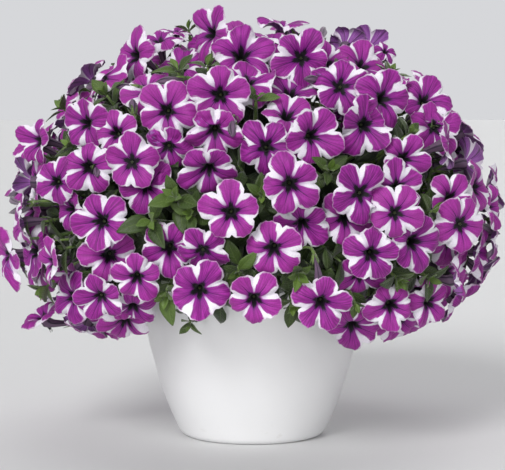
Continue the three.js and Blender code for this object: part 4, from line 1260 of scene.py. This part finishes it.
for k in range(MAIN_STEMS):
    turn = 2 * math.pi * (k + 0.25) / MAIN_STEMS
    foot, top, way = (
        np.array([out * math.cos(turn), out * math.sin(turn), up])
        for out, up in ((MAIN_STEM_CIRCLE, MAIN_STEM_FOOT), (MAIN_STEM_SPREAD, MAIN_STEM_TOP), (30, 20)))
    path = bent(foot, np.array([0, 0, 60.0]), top, way, 14)
    pipe(wood, path, [5.0] * 8 + [4.6, 4.2, 3.8, 3.4, 3.0, 2.6, 2.2], 14, 0, 0.5)
for k in range(SIDE_SHOOTS):
    place = on_dome(*spiral(k, SIDE_SHOOTS, SHOOT_SPAN, branching.uniform(-0.1, 0.1)))
    outward = dome_outward(place)
    depth = SHOOT_DEPTH + branching.uniform(-6, 14)
    while depth < DEEPEST_SHOOT and before_a_bloom(place - outward * (depth - 24)):
        depth += 6
    end = place - outward * depth
    root = root_of(end)
    way = unit(end - root)
    long = apart(end, root)
    level, above = cross_axes(outward)
    lean = level * branching.uniform(-0.5, 0.5) + above * branching.uniform(-0.2, 0.5)
    path = bent(root, way * long * 0.4, end, unit(outward + lean) * long * 0.4, 10)
    pipe(wood, path, [1.9] * 6 + [1.7, 1.6, 1.5, 1.3, 0.9], 6, 0, 0.5)
    trace(path[2:])
stems = wood.make("stems", [stalk_green])
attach(stems, "root")

leaf_skin = Skin()
SMALL_LEAF = [(0, 0.14), (0.16, 0.36), (0.38, 0.95), (0.62, 0.96), (0.84, 0.55), (1, 0.06)]
leaf_along = np.array([math.sin(INNER_LEAF_TILT), 0, math.cos(INNER_LEAF_TILT)])
blade(leaf_skin, np.array([0.0, 0, 0]), leaf_along, np.array([0.0, 1, 0]), INNER_LEAF_LENGTH,
      INNER_LEAF_HALF, SMALL_LEAF, 0, 0.5, curl=0.16, fold=0.25, across=(-1, 0, 1), wave=0.02)
leaf_pattern = leaf_skin.make("leaf_pattern", [leaf_green])
leaf_pattern.data.attributes.remove(leaf_pattern.data.attributes["tone"])

leaf_tree, given = growth_tree("leaves_on_shoots", {
    "Leaf": "Object", "Gap between leaves": "Float", "Smallest leaf": "Float", "Largest leaf": "Float",
    "Turn from leaf to leaf": "Float", "Finish": "Material"})
lines = node(leaf_tree, "GeometryNodeMeshToCurve", {0: given["Geometry"]})
knots = node(leaf_tree, "GeometryNodeResampleCurve", {
    "Curve": lines.outputs[0], "Length": given["Gap between leaves"]}, mode="LENGTH")
growing_way = node(leaf_tree, "GeometryNodeInputTangent").outputs[0]
upright = node(leaf_tree, "FunctionNodeAlignRotationToVector", {"Vector": growing_way}, axis="Z")
number = node(leaf_tree, "GeometryNodeInputIndex").outputs[0]
turned = node(leaf_tree, "ShaderNodeMath", {
    0: number, 1: given["Turn from leaf to leaf"]}, operation="MULTIPLY")
spin = node(leaf_tree, "FunctionNodeAxisAngleToRotation", {"Axis": (0, 0, 1), "Angle": turned.outputs[0]})
set_way = node(leaf_tree, "FunctionNodeRotateRotation", {
    "Rotation": upright.outputs[0], "Rotate By": spin.outputs[0]}, rotation_space="LOCAL")
size = drawn_between(leaf_tree, given["Smallest leaf"], given["Largest leaf"], 8)
shade = drawn_between(leaf_tree, INNER_SHADE_DARKEST, INNER_SHADE_LIGHTEST, 9)
marked = node(leaf_tree, "GeometryNodeStoreNamedAttribute", {
    "Geometry": knots.outputs[0], "Name": "tone", "Value": shade
}, data_type="FLOAT", domain="POINT")
pattern = node(leaf_tree, "GeometryNodeObjectInfo", {"Object": given["Leaf"]})
end_tree(leaf_tree, marked.outputs[0], pattern.outputs["Geometry"], set_way.outputs[0], size,
         given["Finish"])

shoot_lines = mesh_object("shoot_lines", branch_points, [], [], edges=branch_edges)
inner_leaves = grown("inner_leaves", shoot_lines, leaf_tree, {
    "Leaf": leaf_pattern, "Gap between leaves": LEAF_GAP * MM, "Smallest leaf": 0.62, "Largest leaf": 1.15,
    "Turn from leaf to leaf": math.radians(137.5), "Finish": leaf_green})
leaf_mesh = inner_leaves.data
leaf_corners = np.zeros(len(leaf_mesh.vertices) * 3)
leaf_mesh.vertices.foreach_get("co", leaf_corners)
levels = np.array([dome_level(place) for place in leaf_corners.reshape(-1, 3) / MM])
tones = np.zeros(len(leaf_mesh.vertices))
leaf_mesh.attributes["tone"].data.foreach_get("value", tones)
# painted shade: the tone is lifted only near the dome's skin, so deeper leaves stay dark
tones = tones + OUTER_SHADE_LIFT * np.clip((levels - 0.82) / 0.18, 0, 1)
leaf_mesh.attributes["tone"].data.foreach_set("value", tones)
bpy.data.objects.remove(leaf_pattern)
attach(inner_leaves, "root")

# ---------------------------------------------------------------------------
# In the very middle a dark bumpy shell round the main stems stands for the deep
# shade inside the bush: its near-black green is painted shade, so no light shows through.
HEAP_ROWS = 36
HEAP_AROUND = 72

painted_shade_core, tree, shader = new_material("painted_shade_core", Roughness=0.9)
core_mottle = cells(tree, 90, "F2")
# painted shade: near-black greens for the deep inside of the bush
paint(tree, shader, core_mottle.blend(rgb(8, 14, 6), rgb(34, 48, 20)), core_mottle, 1.0, 0.006)
heap_turns = [math.pi * row / HEAP_ROWS for row in range(1, HEAP_ROWS)]
heap_points, heap_faces = lathe([(math.sin(turn), -math.cos(turn)) for turn in heap_turns], HEAP_AROUND)
heaping = random.Random(5)
moulded = []
for x, y, z in heap_points:
    bumpy = 0.9 * (1 + 0.07 * math.sin(9 * x + 2) * math.cos(8 * y + 7 * z) + heaping.uniform(-0.02, 0.02))
    rise = CORE_UP if z > 0 else CORE_DOWN
    moulded.append((x * CORE_SIDE * bumpy, y * CORE_SIDE * bumpy, CORE_CENTRE + z * rise * bumpy))
heap = mesh_object("matted_middle", moulded, heap_faces, [painted_shade_core])
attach(heap, "root")

# ---------------------------------------------------------------------------
# Stalks, calyxes and leaves are covered with short soft hairs, sticky at their
# tips. They grow straight out of the skin and catch the light along its edges.
HAIR_LENGTH = 1.2
HAIR_WIDTH = 0.1
STALK_HAIRS = 30000
LEAF_HAIRS = 16000

soft_hair, tree, shader = new_material(
    "soft_hair", Roughness=0.35, Sheen_Weight=0.3, Sheen_Roughness=0.4)
paint(tree, shader, noise(tree, 300, 2).blend(rgb(150, 164, 112), rgb(214, 220, 190)))

hair_tree, given = growth_tree("hairs_on_skin", {
    "Hairs per square metre": "Float", "Hair length": "Float", "Hair width": "Float", "Finish": "Material"})
rooted = node(hair_tree, "GeometryNodeDistributePointsOnFaces", {
    "Mesh": given["Geometry"], "Density": given["Hairs per square metre"], "Seed": 12})
hair = node(hair_tree, "GeometryNodeMeshCone", {
    "Vertices": 3, "Radius Top": 0.0, "Radius Bottom": given["Hair width"], "Depth": given["Hair length"]})
ruffled = drawn_between(hair_tree, (-0.4, -0.4, 0), (0.4, 0.4, 3), 13)
leaning = node(hair_tree, "FunctionNodeRotateRotation", {
    "Rotation": rooted.outputs[2], "Rotate By": ruffled}, rotation_space="LOCAL")
cropped = drawn_between(hair_tree, (1, 1, 0.4), (1, 1, 1.2), 14)
end_tree(hair_tree, rooted.outputs[0], hair.outputs[0], leaning.outputs[0], cropped, given["Finish"])


def hairs(name, skins, finishes, count):
    """Hairs on the faces of some finishes, as one plain piece."""
    points = []
    faces = []
    for skin in skins:
        chosen = [face for face, finish in zip(skin.faces, skin.finish) if finish in finishes]
        used = sorted({k for face in chosen for k in face})
        places = {k: len(points) + n for n, k in enumerate(used)}
        points.extend(skin.points[k] for k in used)
        faces.extend(tuple(places[k] for k in face) for face in chosen)
    bed = mesh_object("hair_bed", points, faces, [])
    area = sum(face.area for face in bed.data.polygons)
    made = grown(name, bed, hair_tree, {
        "Hairs per square metre": count / area, "Hair length": HAIR_LENGTH * MM,
        "Hair width": HAIR_WIDTH / 2 * MM, "Finish": soft_hair})
    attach(made, "root")


hairs("stalk_hairs", spray_skins, {GREEN}, STALK_HAIRS)
hairs("leaf_hairs", [shoots], {0, 1}, LEAF_HAIRS)

# ---------------------------------------------------------------------------
# The studio: a wide pale table top, soft suns from the front, above and behind,
# a faint lamp on the pot, white surroundings that are brightest near the level,
# and the camera, 2.2 m away and 5 degrees above the level.
TABLE_SIDE = 18000
LIGHT_AIM = 0.22
SENSOR_WIDTH = 36
PICTURE_WIDTH = 505

studio_floor, tree, shader = new_material("studio_floor", Roughness=0.7)
paint(tree, shader, noise(tree, 3, 2).blend(rgb(221, 221, 221), rgb(223, 223, 223)))
half = TABLE_SIDE / 2
table_corners = [(-half, -half, 0), (half, -half, 0), (half, half, 0), (-half, half, 0)]
table = mesh_object("table_top", table_corners, [(0, 1, 2, 3)], [studio_floor])


def shine(name, kind, place, strength, aim=LIGHT_AIM, **setting):
    """A soft light that faces a height on the object's axis."""
    lamp = bpy.data.lights.new(name, kind)
    lamp.energy = strength
    for setting_name, value in setting.items():
        setattr(lamp, setting_name, value)
    made = add_object(name, lamp)
    made.location = place
    way = np.array([0, 0, aim]) - np.array(place)
    flat = math.hypot(way[0], way[1])
    made.rotation_euler = (math.atan2(flat, -way[2]), 0, math.atan2(way[1], way[0]) - math.pi / 2)


shine("key_light", "SUN", (-0.8, -2.0, 1.55), 2.05, angle=math.radians(22))
shine("fill_light", "SUN", (0.7, -2.6, 0.3), 0.58, angle=math.radians(40))
shine("top_light", "SUN", (0.1, 0.2, 2.3), 0.4, angle=math.radians(40))
shine("back_light", "SUN", (0.6, 2.3, 1.3), 0.6, angle=math.radians(40))
shine("pot_light", "AREA", (-0.2, -2.0, 0.12), 0.021, aim=0.115, size=0.16, spread=math.radians(8))
world = bpy.data.worlds.new("studio")
world.use_nodes = True
tree = world.node_tree
tree.nodes["Background"].inputs[0].default_value = (0.96, 0.97, 1.0, 1)
sky = node(tree, "ShaderNodeSeparateXYZ", {0: node(tree, "ShaderNodeTexCoord").outputs["Generated"]})
from_level = Wire(tree, sky.outputs[2]).maths("ABSOLUTE")
tree.links.new(from_level.ramp(0.03, 0.16, 0.7, 0.36).socket, tree.nodes["Background"].inputs[1])
bpy.context.scene.world = world

camera_data = bpy.data.cameras.new("camera")
camera_data.sensor_width = SENSOR_WIDTH
camera_data.lens = SENSOR_WIDTH * EYE_DISTANCE / PICTURE_WIDTH
camera_data.clip_end = 50
camera = add_object("camera", camera_data)
camera.location = (eye * MM).tolist()
camera.rotation_euler = (math.pi / 2 - EYE_HEIGHT, 0, 0)
bpy.context.scene.camera = camera
